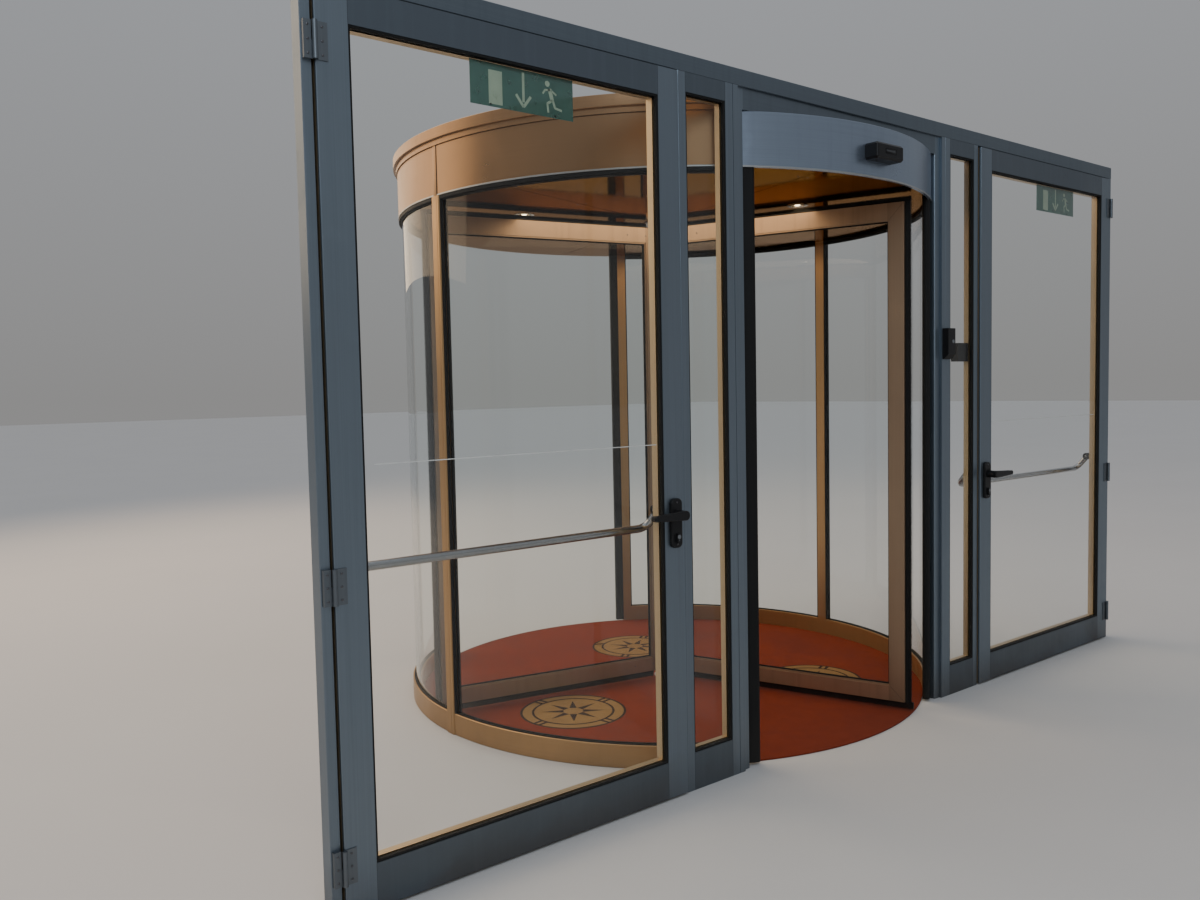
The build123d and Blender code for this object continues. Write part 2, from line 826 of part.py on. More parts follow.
# Fittings on the leaf: the outside plate and the two push-bar brackets inside
with BuildPart() as door_fittings:
    with BuildSketch(leaf_face):
        with Locations((handle_x, handle_height - plate_drop)):
            RectangleRounded(plate_width, plate_height, plate_corner)
    extrude(amount=plate_thickness)
    fillet(faces().sort_by(Axis.Y)[0].edges(), plate_round)
    with BuildSketch(leaf_face.offset(plate_thickness)):
        with Locations((handle_x, handle_height - key_drop)):
            SlotOverall(key_height, key_width, rotation=90)
    extrude(amount=key_proud)
    for bracket_x in (handle_x, far_bracket_x):
        cheek_offset = boss_width / 2 + cheek_gap + cheek_thickness / 2
        bracket_width = 2 * cheek_offset + cheek_thickness
        with BuildSketch(Plane.XZ.offset(-leaf_back)):
            with Locations((bracket_x, bar_pivot_height)):
                RectangleRounded(bracket_width, bracket_height, cheek_thickness)
        extrude(amount=-bracket_plate)
        for cheek_x in (bracket_x - cheek_offset, bracket_x + cheek_offset):
            with BuildSketch(Plane.YZ.offset(cheek_x - cheek_thickness / 2)):
                with Locations((bar_pivot_y, bar_pivot_height)):
                    Circle(boss_radius)
                box_outline(
                    leaf_back + bracket_plate / 2,
                    bar_pivot_y,
                    bar_pivot_height - boss_radius,
                    bar_pivot_height + boss_radius,
                )
                with Locations((bar_pivot_y, bar_pivot_height)):
                    Circle(stub_radius + stub_slack, mode=Mode.SUBTRACT)
            extrude(amount=cheek_thickness)
save_pair(door_fittings, "door_fittings")

lever_face = leaf_front - plate_thickness - seat_gap
lever_back = lever_face - lever_reach + lever_thickness
lever_end = handle_x + lever_length
with BuildPart() as lever:
    # The arm is where its plan, with a returned tip, meets its tapered elevation
    with BuildSketch(Plane.XY.offset(handle_height - hub_radius)):
        box_outline(handle_x - hub_radius, lever_end, lever_face - lever_reach, lever_back)
        tip_start = lever_end - lever_thickness
        box_outline(tip_start, lever_end, lever_back, lever_back + lever_return)
    extrude(amount=2 * hub_radius)
    with BuildSketch(leaf_face):
        with Locations((handle_x, handle_height)):
            Circle(hub_radius)
        with Locations((lever_end - tip_radius, handle_height)):
            Circle(tip_radius)
        make_hull()
    extrude(amount=plate_thickness + seat_gap + lever_reach + cut_margin, mode=Mode.INTERSECT)
    with BuildSketch(Plane.XZ.offset(-lever_face)):
        with Locations((handle_x, handle_height)):
            Circle(hub_radius)
    extrude(amount=lever_reach)
    fillet(faces().sort_by(Axis.Y)[0].edges(), lever_round)
save_pair(lever, "lever")

with BuildPart() as push_bar:
    with BuildLine() as bar_route:
        corner_y = bar_pivot_y + bar_out
        corner_z = bar_pivot_height - bar_drop
        FilletPolyline(
            (handle_x, bar_pivot_y, bar_pivot_height),
            (handle_x, corner_y, corner_z),
            (far_bracket_x, corner_y, corner_z),
            (far_bracket_x, bar_pivot_y, bar_pivot_height),
            radius=bar_bend,
        )
    with BuildSketch(Plane(origin=bar_route.line @ 0, z_dir=bar_route.line % 0)):
        Circle(bar_radius)
    sweep()
    for bracket_x in (handle_x, far_bracket_x):
        with Locations(Plane.YZ.offset(bracket_x)):
            with Locations((bar_pivot_y, bar_pivot_height)):
                Cylinder(boss_radius, boss_width)
                Cylinder(stub_radius, boss_width + 2 * cheek_gap + 2 * cheek_thickness)
save_pair(push_bar, "push_bar")
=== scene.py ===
"""Looks of the revolving door in its entrance front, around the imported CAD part.

Metres. The origin is on the floor, on the drum's axis. -Y is the street, +Y the lobby.
"""

import random
from math import atan2, cos, hypot, pi, radians, sin

import bmesh
import bpy
from mathutils import Matrix, Vector


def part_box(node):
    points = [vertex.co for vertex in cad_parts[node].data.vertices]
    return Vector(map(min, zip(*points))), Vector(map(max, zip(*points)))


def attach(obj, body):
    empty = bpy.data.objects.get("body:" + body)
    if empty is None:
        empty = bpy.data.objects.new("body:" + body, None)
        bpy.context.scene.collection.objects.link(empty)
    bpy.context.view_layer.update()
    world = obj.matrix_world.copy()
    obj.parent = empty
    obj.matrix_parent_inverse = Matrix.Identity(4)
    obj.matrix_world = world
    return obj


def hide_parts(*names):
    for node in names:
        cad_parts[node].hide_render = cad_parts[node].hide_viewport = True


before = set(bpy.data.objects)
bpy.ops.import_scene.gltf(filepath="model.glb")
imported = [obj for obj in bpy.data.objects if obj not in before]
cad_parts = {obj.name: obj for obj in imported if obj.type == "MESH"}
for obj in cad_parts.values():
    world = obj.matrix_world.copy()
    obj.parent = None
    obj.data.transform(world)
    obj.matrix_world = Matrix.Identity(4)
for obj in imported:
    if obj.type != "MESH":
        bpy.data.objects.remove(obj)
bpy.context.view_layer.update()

MM = 0.001
SIDES = (("left", -1), ("right", 1))
WINGS = (("wing_1", radians(-71.5)), ("wing_2", radians(48.5)), ("wing_3", radians(168.5)))
STREET = (0, -1, 0)
LOBBY = (0, 1, 0)
UP = (0, 0, 1)
DOWN = (0, 0, -1)

# Camera, where the photograph was taken from
CAMERA_PLACE = (-3.375, -3.630, 1.434)
CAMERA_YAW = 0.685111
CAMERA_PITCH = -0.061775
CAMERA_ROLL = -0.020222
CAMERA_LENS = 30.3
CAMERA_SENSOR = 36.0

# Glazing: how the panes sit in their frames
PANE_COVER = 10 * MM
PANE_PLAY = 1 * MM
DOOR_BEAD = 7 * MM
BEAD_FACE = 9.5 * MM
GASKET_WIDTH = 4.5 * MM
GASKET_DEPTH = 2.6 * MM
SLIM_GASKET = 1.5 * MM
WING_INNER = 0.055
WING_OUTER = 1.175
WING_LIGHT = (0.105, 1.105)
WING_HALF = 20 * MM
WING_PANE_HALF = 5 * MM
WING_BEAD = 6 * MM

# Drum and its canopy, which is silver as far as the wall line and tan behind it, the tan being
# painted warm lobby light
DRUM_RADIUS = 1.246
WALL_MIDDLE = 1.226
WALL_LINE = -1.080
JOINT_COVER = 12.5 * MM

# Brushes round the wings
BRUSH_START = 0.088
BRUSH_TIP = 1.200
BRUSH_LOW = 10.5 * MM
BRUSH_HIGH = 2.215
BRUSH_HOLDER = 9 * MM
HOLDER_HALF = 6.6 * MM
CORE_HALF = 2.6 * MM
CORE_SHARE = 0.86
CORE_BEVEL = 0.8 * MM
HOLDER_BEVEL = 1.2 * MM
BRISTLE_PITCH = 3 * MM
BRISTLE_ROW = 4.2 * MM
BRISTLE_ROOT = 1.7 * MM
BRISTLE_TIP = 0.7 * MM
BRISTLE_SHARES = (0.95, 1.0)
LEAN_ALONG = 1.2 * MM
LEAN_ACROSS = 1 * MM

# Downlights in the ceiling
LIGHT_CIRCLE = 0.708
LIGHT_COUNT = 6
LIGHT_PHASE = radians(-74)
LAMP_LEVEL = 2.2495
LAMP_RADIUS = 19.6 * MM
LAMP_MOUTH = 32.5 * MM

# Door hardware
HINGE_PLATE = 3 * MM
HINGE_LENGTH = 98 * MM
KNUCKLE_RADIUS = 7 * MM
MID_HINGE = 0.918
LEVER_HUB = 16.5 * MM
HANDLE_PLATE = 13 * MM
PLATE_MIDDLE = 0.965
KEY_PROUD = 9 * MM
KEY_LEVEL = 0.913
BRACKET_PLATE = 12 * MM
BAR_PIVOT = 1.005
BAR_STUB = 20 * MM

# Screws: radii of their heads, then where they stand
SMALL_SCREW = 3.2 * MM
PLATE_SCREW = 3.4 * MM
HINGE_SCREW = 3.6 * MM
COVER_SCREW = 5 * MM
HINGE_RISES = (-36 * MM, 0, 36 * MM)
BRACKET_RISES = (-52 * MM, 52 * MM)
BRACKET_SHIFTS = (-12 * MM, 12 * MM)
PLATE_RISES = (-72 * MM, 72 * MM)
WING_SCREW_RADII = (0.10, 0.20)
WING_SCREW_LOW = 35 * MM
WING_SCREW_HIGH = 38 * MM
COVER_SCREWS = 24
COVER_CIRCLE = 1.19
CEILING_CIRCLES = (0.16, 0.66, 1.13)
CEILING_SHIFTS = (-22 * MM, 22 * MM)
BEARING_SCREWS = 4
BEARING_CIRCLE = 0.0595
BEARING_FLANGE = 12 * MM

# Reader, exit films and the line across the glass
READER_LENS = (0.695, 1.607)
READER_FACE = -1.143
FILM_LOW = 2.264
FILM_HIGH = 2.390
FILM_HALF = 0.188
FILM_MIDDLES = {"left": -1.578, "right": 1.688}
FILM_GAP = 0.4 * MM
FILM_THICKNESS = 1.2 * MM
STUD_SHIFTS = (-0.118, 0.118)
STUD_RISE = 7 * MM
ETCHED_LEVEL = 1.237
ETCHED_SPAN = (1.069, 2.112)
ETCHED_WIDTH = 3 * MM
ETCHED_PROUD = 0.25 * MM

# Floor inlays: middle and turn of each
INLAYS = (((-0.70, -0.13), 0.15), ((0.24, 0.53), 0.6), ((0.46, -0.53), 0.4))
INLAY_RADIUS = 0.235
INLAY_RINGS = ((INLAY_RADIUS - 5.7 * MM, 5.5 * MM), (0.178, 5.2 * MM))
INLAY_TICK = (0.180, 0.226)
TICK_SHIFTS = (-15 * MM, 15 * MM)
TICK_HALF = 7 * MM
RAY_FOOT = 0.043
RAY_TIP = 0.140
RAY_HALF = 16.5 * MM

# How edges are finished
CREASE = radians(32)
BEVEL_LIMIT = 0.4
THIN_BEVEL = 0.1 * MM

random.seed(7)


# Shapes

HOME = Matrix.Identity(4)


def add_object(name, data):
    """New object in the scene."""
    thing = bpy.data.objects.new(name, data)
    bpy.context.scene.collection.objects.link(thing)
    return thing


def millimetres(*points):
    """Points of a flat outline, given in millimetres."""
    return [(x * MM, y * MM) for x, y in points]


def turns(count, start=0.0):
    """Evenly spaced angles all the way round, from a start."""
    return [start + 2 * pi * index / count for index in range(count)]


def polar(radius, turn, level):
    """Point at a radius from an upright axis, a turn round it and a level."""
    return (radius * cos(turn), radius * sin(turn), level)


class Builder:
    """Collects closed forms for one piece. Each has its own frame and is placed by a matrix."""

    def __init__(self, name):
        self.name = name
        self.verts = []
        self.faces = []

    def add(self, points, faces, place):
        first = len(self.verts)
        self.verts.extend(place @ Vector(point) for point in points)
        self.faces.extend([first + index for index in face] for face in faces)

    def block(self, one, other, bevel, place=HOME):
        """Box between two corners, with bevelled edges that never meet on its thinnest side."""
        low = Vector([min(pair) for pair in zip(one, other)])
        high = Vector([max(pair) for pair in zip(one, other)])
        size = high - low
        bevel = min(bevel, min(size) * BEVEL_LIMIT)
        shape = bmesh.new()
        bmesh.ops.create_cube(shape, size=1)
        bmesh.ops.scale(shape, vec=size, verts=shape.verts)
        bmesh.ops.translate(shape, vec=(low + high) / 2, verts=shape.verts)
        bmesh.ops.bevel(
            shape, geom=shape.edges[:], offset=bevel, segments=2, affect="EDGES", profile=0.6
        )
        shape.verts.index_update()
        points = [vert.co.copy() for vert in shape.verts]
        faces = [[vert.index for vert in face.verts] for face in shape.faces]
        shape.free()
        self.add(points, faces, place)

    def bar(self, start, end, width, near, far, place=HOME):
        """Straight bar between two points in XZ, from one depth along Y to another."""
        span = Vector((end[0] - start[0], 0, end[1] - start[1]))
        turn = Matrix.Rotation(-atan2(span.z, span.x), 4, "Y")
        spot = place @ Matrix.Translation((start[0], 0, start[1])) @ turn
        self.block((0, near, -width / 2), (span.length, far, width / 2), THIN_BEVEL, spot)

    def turned(self, profile, segments, place):
        """Closed round form: profile points are (radius, height), first and last on the axis."""
        rings = profile[1:-1]
        points = [(0, 0, profile[0][1])]
        for radius, height in rings:
            points.extend(polar(radius, turn, height) for turn in turns(segments))
        points.append((0, 0, profile[-1][1]))
        last = len(points) - 1
        faces = []
        for step in range(segments):
            after = (step + 1) % segments
            faces.append((0, 1 + after, 1 + step))
            for ring in range(len(rings) - 1):
                near = 1 + ring * segments
                far = near + segments
                faces.append((near + step, near + after, far + after, far + step))
            top = 1 + (len(rings) - 1) * segments
            faces.append((top + step, top + after, last))
        self.add(points, faces, place)

    def hoop(self, radius, section, segments, place):
        """Closed ring: section points are (outwards, up) from the ring's radius."""
        points = [polar(radius + out, turn, up) for turn in turns(segments) for out, up in section]
        count = len(section)
        faces = []
        for step in range(segments):
            near = step * count
            far = (step + 1) % segments * count
            for index in range(count):
                after = (index + 1) % count
                faces.append((near + index, far + index, far + after, near + after))
        self.add(points, faces, place)

    def border(self, light, section, place):
        """Mitred strip round a rectangle in XZ: section points are (inwards, along +Y)."""
        left, right, low, high = light
        points = []
        count = len(section)
        for inwards, depth in section:
            points.append((left + inwards, depth, low + inwards))
            points.append((right - inwards, depth, low + inwards))
            points.append((right - inwards, depth, high - inwards))
            points.append((left + inwards, depth, high - inwards))
        faces = []
        for index in range(count):
            here, after = index * 4, (index + 1) % count * 4
            for corner in range(4):
                turned = (corner + 1) % 4
                faces.append((here + corner, here + turned, after + turned, after + corner))
        self.add(points, faces, place)

    def prism(self, outline, low, high, place):
        """Flat plate with a convex outline in XY, between two levels."""
        count = len(outline)
        points = [(x, y, low) for x, y in outline] + [(x, y, high) for x, y in outline]
        faces = [tuple(reversed(range(count))), tuple(range(count, 2 * count))]
        for index in range(count):
            after = (index + 1) % count
            faces.append((index, after, count + after, count + index))
        self.add(points, faces, place)

    def screw(self, place, radius):
        """Button head with a round recess. Its profile is in shares of its radius."""
        head = ((0, 0), (1, 0), (1, 0.16), (0.86, 0.42), (0.62, 0.55), (0.36, 0.58))
        recess = ((0.32, 0.2), (0, 0.2))
        self.turned([(out * radius, up * radius) for out, up in head + recess], 12, place)

    def done(self, body, material):
        """Make the piece, smooth but for its creases, and give it its body, finish and slot."""
        mesh = bpy.data.meshes.new(self.name)
        mesh.from_pydata(self.verts, [], self.faces)
        mesh.validate()
        shape = bmesh.new()
        shape.from_mesh(mesh)
        bmesh.ops.recalc_face_normals(shape, faces=shape.faces)
        shape.to_mesh(mesh)
        shape.free()
        mesh.polygons.foreach_set("use_smooth", [True] * len(mesh.polygons))
        mesh.set_sharp_from_angle(angle=CREASE)
        mesh.materials.append(material)
        piece = add_object(self.name, mesh)
        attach(piece, body)
        return piece


def facing(point, direction):
    """Matrix that puts a form's +Z along a direction at a point."""
    turn = Vector(direction).to_track_quat("Z", "Y").to_matrix().to_4x4()
    return Matrix.Translation(point) @ turn


def about_axis(angle):
    """Turn that takes a form drawn along X to its own place round an upright axis."""
    return Matrix.Rotation(angle, 4, "Z")


def rounded_strip(width, depth):
    """Section of a soft strip: flat foot, rounded top. Points are (inwards, along +Y)."""
    side, steps = 0.55 * depth, 8
    section = [(0, 0)]
    for step in range(steps + 1):
        turn = pi * step / steps
        section.append((width / 2 * (1 - cos(turn)), side + (depth - side) * sin(turn)))
    return [*section, (width, 0)]


def mirrored(section):
    """The same section on the other side of its foot."""
    return [(inwards, -depth) for inwards, depth in section]


def flat_panels():
    """Name and body of each sidelight and door."""
    for side, _ in SIDES:
        yield f"{side}_sidelight", "surround"
        yield f"{side}_door", f"{side}_door"


def flat_light(panel):
    """Edges of the opening in a panel's street face: left, right, bottom and top."""
    low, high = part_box(f"{panel}_glass")
    return (
        low.x + PANE_COVER - PANE_PLAY,
        high.x - PANE_COVER + PANE_PLAY,
        low.z + PANE_COVER,
        high.z - PANE_COVER + PANE_PLAY,
    )


def wing_light():
    """A wing's light in its own frame: inner and outer radius, bottom and top."""
    low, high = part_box("wing_1_glass")
    return (*WING_LIGHT, low.z + PANE_COVER, high.z - PANE_COVER + PANE_PLAY)


# Materials


class Finish:
    """A node material built round one Principled shader, in the object's own metres."""

    def __init__(self, name, **values):
        self.material = bpy.data.materials.new(name)
        self.material.use_nodes = True
        self.tree = self.material.node_tree
        self.shader = self.tree.nodes["Principled BSDF"]
        self.coords = self.node("TexCoord", {}).outputs["Object"]
        for socket, value in values.items():
            self.shader.inputs[socket.replace("_", " ")].default_value = value

    def put(self, socket, value):
        """Link an output or set a plain value."""
        if isinstance(value, bpy.types.NodeSocket):
            self.tree.links.new(value, socket)
        elif isinstance(value, tuple) and len(value) == 3 and socket.type == "RGBA":
            socket.default_value = (*value, 1)
        else:
            socket.default_value = value

    def node(self, kind, inputs, **settings):
        """New node with its settings, fed by its inputs' names or numbers."""
        node = self.tree.nodes.new(f"ShaderNode{kind}")
        for name, setting in settings.items():
            setattr(node, name, setting)
        for key, value in inputs.items():
            self.put(node.inputs[key], value)
        return node

    def noise(self, scale, detail, rough=0.55, warp=0.0, vector=None):
        inputs = {"Vector": vector or self.coords, "Scale": scale, "Detail": detail}
        inputs.update({"Roughness": rough, "Distortion": warp})
        return self.node("TexNoise", inputs).outputs["Fac"]

    def grain(self, scales, detail, rough=0.55, warp=0.0):
        """Noise with a scale of its own along each axis."""
        node = self.node("Mapping", {"Vector": self.coords, "Scale": scales})
        return self.noise(1.0, detail, rough, warp, node.outputs["Vector"])

    def cells(self, scale):
        """Distance to the nearest of scattered points."""
        node = self.node("TexVoronoi", {"Vector": self.coords, "Scale": scale})
        return node.outputs["Distance"]

    def math(self, kind, *values):
        return self.node("Math", dict(enumerate(values)), operation=kind).outputs["Value"]

    def times(self, first, second):
        return self.math("MULTIPLY", first, second)

    def plus(self, first, second):
        return self.math("ADD", first, second)

    def range(self, value, low, high, to_low=0.0, to_high=1.0):
        """Map a value's span to another, held at its ends."""
        inputs = {"Value": value, "From Min": low, "From Max": high}
        inputs.update({"To Min": to_low, "To Max": to_high})
        return self.node("MapRange", inputs).outputs["Result"]

    def axis(self, name):
        """One of the coordinates, X, Y or Z."""
        return self.node("SeparateXYZ", {"Vector": self.coords}).outputs[name]

    def join(self, x, y, z):
        return self.node("CombineXYZ", {"X": x, "Y": y, "Z": z}).outputs["Vector"]

    def reach(self):
        """Distance from the drum's axis."""
        x, y = self.axis("X"), self.axis("Y")
        return self.math("SQRT", self.plus(self.times(x, x), self.times(y, y)))

    def go_out(self):
        """From here on, coordinates are the distance from the axis, nothing, and height."""
        self.coords = self.join(self.reach(), 0.0, self.axis("Z"))

    def go_round(self):
        """From here on, coordinates are the way round the drum, the radius, and height."""
        turn = self.math("ARCTAN2", self.axis("Y"), self.axis("X"))
        self.coords = self.join(self.times(turn, WALL_MIDDLE), self.reach(), self.axis("Z"))

    def within(self, value, low, high):
        """One where a value lies between two others, nothing elsewhere."""
        above = self.math("GREATER_THAN", value, low)
        return self.times(above, self.math("LESS_THAN", value, high))

    def near_floor(self, foot, top, most):
        """Fades upwards, from a value at one height to nothing at another."""
        return self.range(self.axis("Z"), foot, top, most, 0.0)

    def blend(self, factor, first, second):
        """Mix two colours. The node's sockets share their names, so they go by number."""
        inputs = {0: factor, 6: first, 7: second}
        return self.node("Mix", inputs, data_type="RGBA").outputs[2]

    def weigh(self, factor, first, second):
        """Mix two values, by number too."""
        inputs = {0: factor, 2: first, 3: second}
        return self.node("Mix", inputs, data_type="FLOAT").outputs[0]

    def bump(self, height, distance, strength):
        inputs = {"Height": height, "Distance": distance, "Strength": strength}
        self.drive("Normal", self.node("Bump", inputs).outputs["Normal"])

    def drive(self, name, value):
        self.put(self.shader.inputs[name], value)


def shade(colour, factor):
    """Darker or paler colour."""
    return tuple(min(1.0, part * factor) for part in colour)


def die_lines(finish, run, light):
    """Fine lines along each profile, and for frames a mask that is one on their rails."""
    fine, long = 260, 1.3
    if run == "round":
        finish.go_round()
    if run == "wing":
        finish.go_out()
    if run == "up":
        return finish.grain((fine, fine, long), 2.0), None
    level = finish.grain((long, fine, fine), 2.0)
    if light is None:
        return level, None
    upright = finish.grain((fine, fine, long), 2.0)
    left, right, low, high = light
    across = finish.within(finish.math("ABSOLUTE", finish.axis("X")), left, right)
    beside = finish.within(finish.axis("Z"), low, high)
    rails = finish.times(across, finish.math("SUBTRACT", 1.0, beside))
    return finish.weigh(rails, upright, level), rails


def extruded_metal(
    name, colour, roughness, run="up", light=None, dust=0.5, rail=0.9, lobby_light=None
):
    """Satin aluminium: die lines along it, rain streaks, handling marks and dust low down.

    The lines run the way that run says. Round the opening that light gives, rails take the
    rail factor, darker or paler than stiles: painted shade and painted light. The lobby side
    can have a tone of its own, painted warm lobby light on the same metal: that argument holds
    the tone and the depth it starts at.
    """
    finish = Finish(name, Metallic=0.85, Roughness=roughness)
    cloud = finish.noise(2.3, 4.0, warp=0.4)
    marks = finish.range(finish.noise(16.0, 6.0, 0.7), 0.56, 0.72)
    streaks = finish.grain((34, 34, 0.9), 3.0, 0.6)
    specks = finish.range(finish.cells(130.0), 0.035, 0.075, 1.0, 0.0)
    specks = finish.times(specks, finish.range(finish.noise(9.0, 2.0), 0.55, 0.62))
    low = finish.near_floor(0.0, 0.17, 1.0)
    depth = finish.axis("Y")
    lines, rails = die_lines(finish, run, light)
    tone = finish.blend(finish.range(lines, 0.3, 0.7), shade(colour, 0.96), shade(colour, 1.04))
    if rails is not None:
        # Rails darker or paler than the stiles: painted shade and painted light.
        tone = finish.blend(finish.times(rails, 0.9), tone, shade(colour, rail))
    tone = finish.blend(finish.range(streaks, 0.5, 0.75, 0, 0.35), tone, shade(colour, 0.8))
    # Warm tone on the lobby side, from the given depth on: painted warm lobby light on the same
    # metal.
    if lobby_light:
        warm, start = lobby_light
        lobby_lit_tone = finish.blend(finish.range(lines, 0.3, 0.7), shade(warm, 0.95), warm)
        tone = finish.blend(finish.range(depth, start, start + 1 * MM), tone, lobby_lit_tone)
    tone = finish.blend(finish.times(specks, 0.4), tone, shade(colour, 0.45))
    dirt = finish.times(low, finish.range(cloud, 0.35, 0.6, 0.25, 1.0))
    dirt = finish.times(dirt, dust)
    finish.drive("Base Color", finish.blend(dirt, tone, STREET_DIRT))
    rough = finish.range(cloud, 0.3, 0.7, roughness - 0.04, roughness + 0.06)
    rough = finish.plus(rough, finish.times(marks, 0.1))
    finish.drive("Roughness", finish.plus(rough, finish.times(dirt, 0.3)))
    finish.bump(finish.plus(lines, finish.times(specks, 0.5)), 0.04 * MM, 0.5)
    return finish.material


def glazed_frame(name, kind):
    """Frame metal of a sidelight or a door: grey to the street, cream from its beads inwards, the
    cream being painted warm lobby light.
    """
    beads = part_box(f"right_{kind}_frame")[0].y + BEAD_FACE
    light = flat_light(f"right_{kind}")
    # Darker rails on door and sidelight frames: painted shade.
    return extruded_metal(name, GREY, 0.40, "frame", light, rail=0.6, lobby_light=(LOBBY_LIT_CREAM, beads))


def clear_glass(name, tint):
    """Polished pane: clear to light, with faint smears. Shadow rays pass straight through.

    The refraction is weaker than real glass has, so that the pale studio leaves no veil on it.
    """
    finish = Finish(name, Transmission_Weight=1.0, IOR=1.25, Roughness=0.0)
    finish.drive("Base Color", tint)
    smears = finish.grain((9, 9, 2.2), 5.0, 0.6, 1.2)
    finish.drive("Roughness", finish.range(smears, 0.62, 0.8, 0.0, 0.04))
    clear = finish.node("BsdfTransparent", {"Color": tint}).outputs[0]
    shadow = finish.node("LightPath", {}).outputs["Is Shadow Ray"]
    mix = finish.node("MixShader", {0: shadow, 1: finish.shader.outputs[0], 2: clear})
    finish.put(finish.tree.nodes["Material Output"].inputs["Surface"], mix.outputs[0])
    return finish.material


def moulded(name, colour, roughness, grain=1400.0, depth=0.05 * MM):
    """Moulded rubber or plastic with a fine grain, rubbed and dusty in places."""
    finish = Finish(name, Roughness=roughness, Specular_IOR_Level=0.22)
    fine = finish.noise(grain, 2.0)
    cloud = finish.noise(5.0, 5.0, 0.6, warp=0.5)
    worn = finish.range(cloud, 0.52, 0.75, 0.0, 0.06)
    dusty = finish.plus(worn, finish.times(finish.near_floor(0.0, 0.22, 0.5), cloud))
    tone = finish.blend(finish.range(fine, 0.35, 0.65), shade(colour, 0.8), shade(colour, 1.3))
    finish.drive("Base Color", finish.blend(dusty, tone, BLACK_DUST))
    finish.drive("Roughness", finish.range(cloud, 0.3, 0.7, roughness - 0.06, roughness + 0.1))
    finish.bump(fine, depth, 0.7)
    return finish.material


def bristle_black(name):
    """Nylon bristles: black, with a soft gloss and a little carpet dust near the floor."""
    finish = Finish(name, Roughness=0.5, Specular_IOR_Level=0.35)
    cloud = finish.noise(30.0, 4.0)
    patches = finish.range(cloud, 0.4, 0.7)
    tone = finish.blend(patches, (0.003, 0.003, 0.003), (0.013, 0.012, 0.011))
    low = finish.near_floor(5 * MM, 45 * MM, 0.5)
    finish.drive("Base Color", finish.blend(low, tone, (0.04, 0.022, 0.016)))
    finish.drive("Roughness", finish.range(cloud, 0.3, 0.7, 0.45, 0.66))
    finish.bump(finish.noise(900.0, 2.0), 0.2 * MM, 0.5)
    return finish.material


def ribbed_carpet(name, dark, light):
    """Dense ribbed carpet: fine ribs, mottled pile, trodden patches and pale lint."""
    finish = Finish(name, Roughness=0.95, Sheen_Weight=0.04, Sheen_Roughness=0.5)
    finish.drive("Specular IOR Level", 0.15)
    pile = finish.noise(520.0, 3.0, 0.7)
    mottle = finish.noise(14.0, 5.0, 0.65)
    trodden = finish.noise(1.7, 4.0, 0.6, warp=0.6)
    rib = finish.math("SINE", finish.times(finish.axis("X"), 2 * pi / RIB_PITCH))
    tone = finish.blend(finish.range(pile, 0.3, 0.7), dark, light)
    # Troughs between the ribs darkened: painted shade.
    tone = finish.blend(finish.range(rib, -1.0, 0.2, 0.35, 0.0), tone, shade(dark, 0.6))
    tone = finish.blend(finish.range(mottle, 0.4, 0.7, 0.0, 0.35), tone, shade(dark, 0.8))
    tone = finish.blend(finish.range(trodden, 0.45, 0.7, 0.0, 0.4), tone, shade(dark, 0.7))
    street = finish.range(finish.axis("Y"), -1.2, -0.5, 0.4, 0.0)
    tone = finish.blend(street, tone, shade(dark, 0.6))
    lint = finish.range(finish.cells(26.0), 0.035, 0.05, 1.0, 0.0)
    lint = finish.times(lint, finish.range(finish.noise(8.0, 2.0), 0.5, 0.6))
    finish.drive("Base Color", finish.blend(lint, tone, (0.30, 0.19, 0.14)))
    finish.drive("Roughness", finish.range(trodden, 0.4, 0.7, 0.98, 0.88))
    finish.bump(finish.plus(finish.times(rib, 0.3), pile), 1.2 * MM, 0.8)
    return finish.material


def glossy_ceiling(name):
    """High-gloss golden brown panel, almost a mirror, with a soft figure and faint haze."""
    finish = Finish(name, Metallic=1.0, Roughness=0.07)
    finish.drive("Specular Tint", (0.58, 0.40, 0.25))
    figure = finish.grain((2.2, 26, 8), 5.0, 0.6, 0.8)
    fine = finish.grain((18, 300, 40), 3.0, 0.7)
    tone = finish.blend(finish.range(figure, 0.3, 0.7), (0.27, 0.125, 0.06), (0.37, 0.185, 0.09))
    tone = finish.blend(finish.range(fine, 0.45, 0.75, 0.0, 0.3), tone, (0.20, 0.10, 0.045))
    finish.drive("Base Color", tone)
    haze = finish.noise(3.0, 4.0, 0.6, warp=1.0)
    finish.drive("Roughness", finish.range(haze, 0.35, 0.7, 0.05, 0.13))
    finish.bump(fine, 0.02 * MM, 0.3)
    return finish.material


def cover_sheet(name):
    """Painted roof sheet under years of settled dust."""
    finish = Finish(name, Metallic=0.2, Roughness=0.55)
    dust = finish.noise(3.4, 7.0, 0.65, warp=0.6)
    spots = finish.range(finish.cells(40.0), 0.05, 0.16, 1.0, 0.0)
    rings = finish.range(finish.noise(5.0, 3.0, warp=0.6), 0.5, 0.7, 0.0, 0.2)
    tone = finish.blend(finish.range(dust, 0.3, 0.7), (0.27, 0.275, 0.28), (0.34, 0.33, 0.305))
    tone = finish.blend(finish.times(spots, 0.35), tone, (0.16, 0.14, 0.12))
    tone = finish.blend(rings, tone, (0.2, 0.185, 0.165))
    finish.drive("Base Color", tone)
    finish.drive("Roughness", finish.range(dust, 0.3, 0.7, 0.45, 0.85))
    finish.bump(dust, 0.6 * MM, 0.5)
    return finish.material


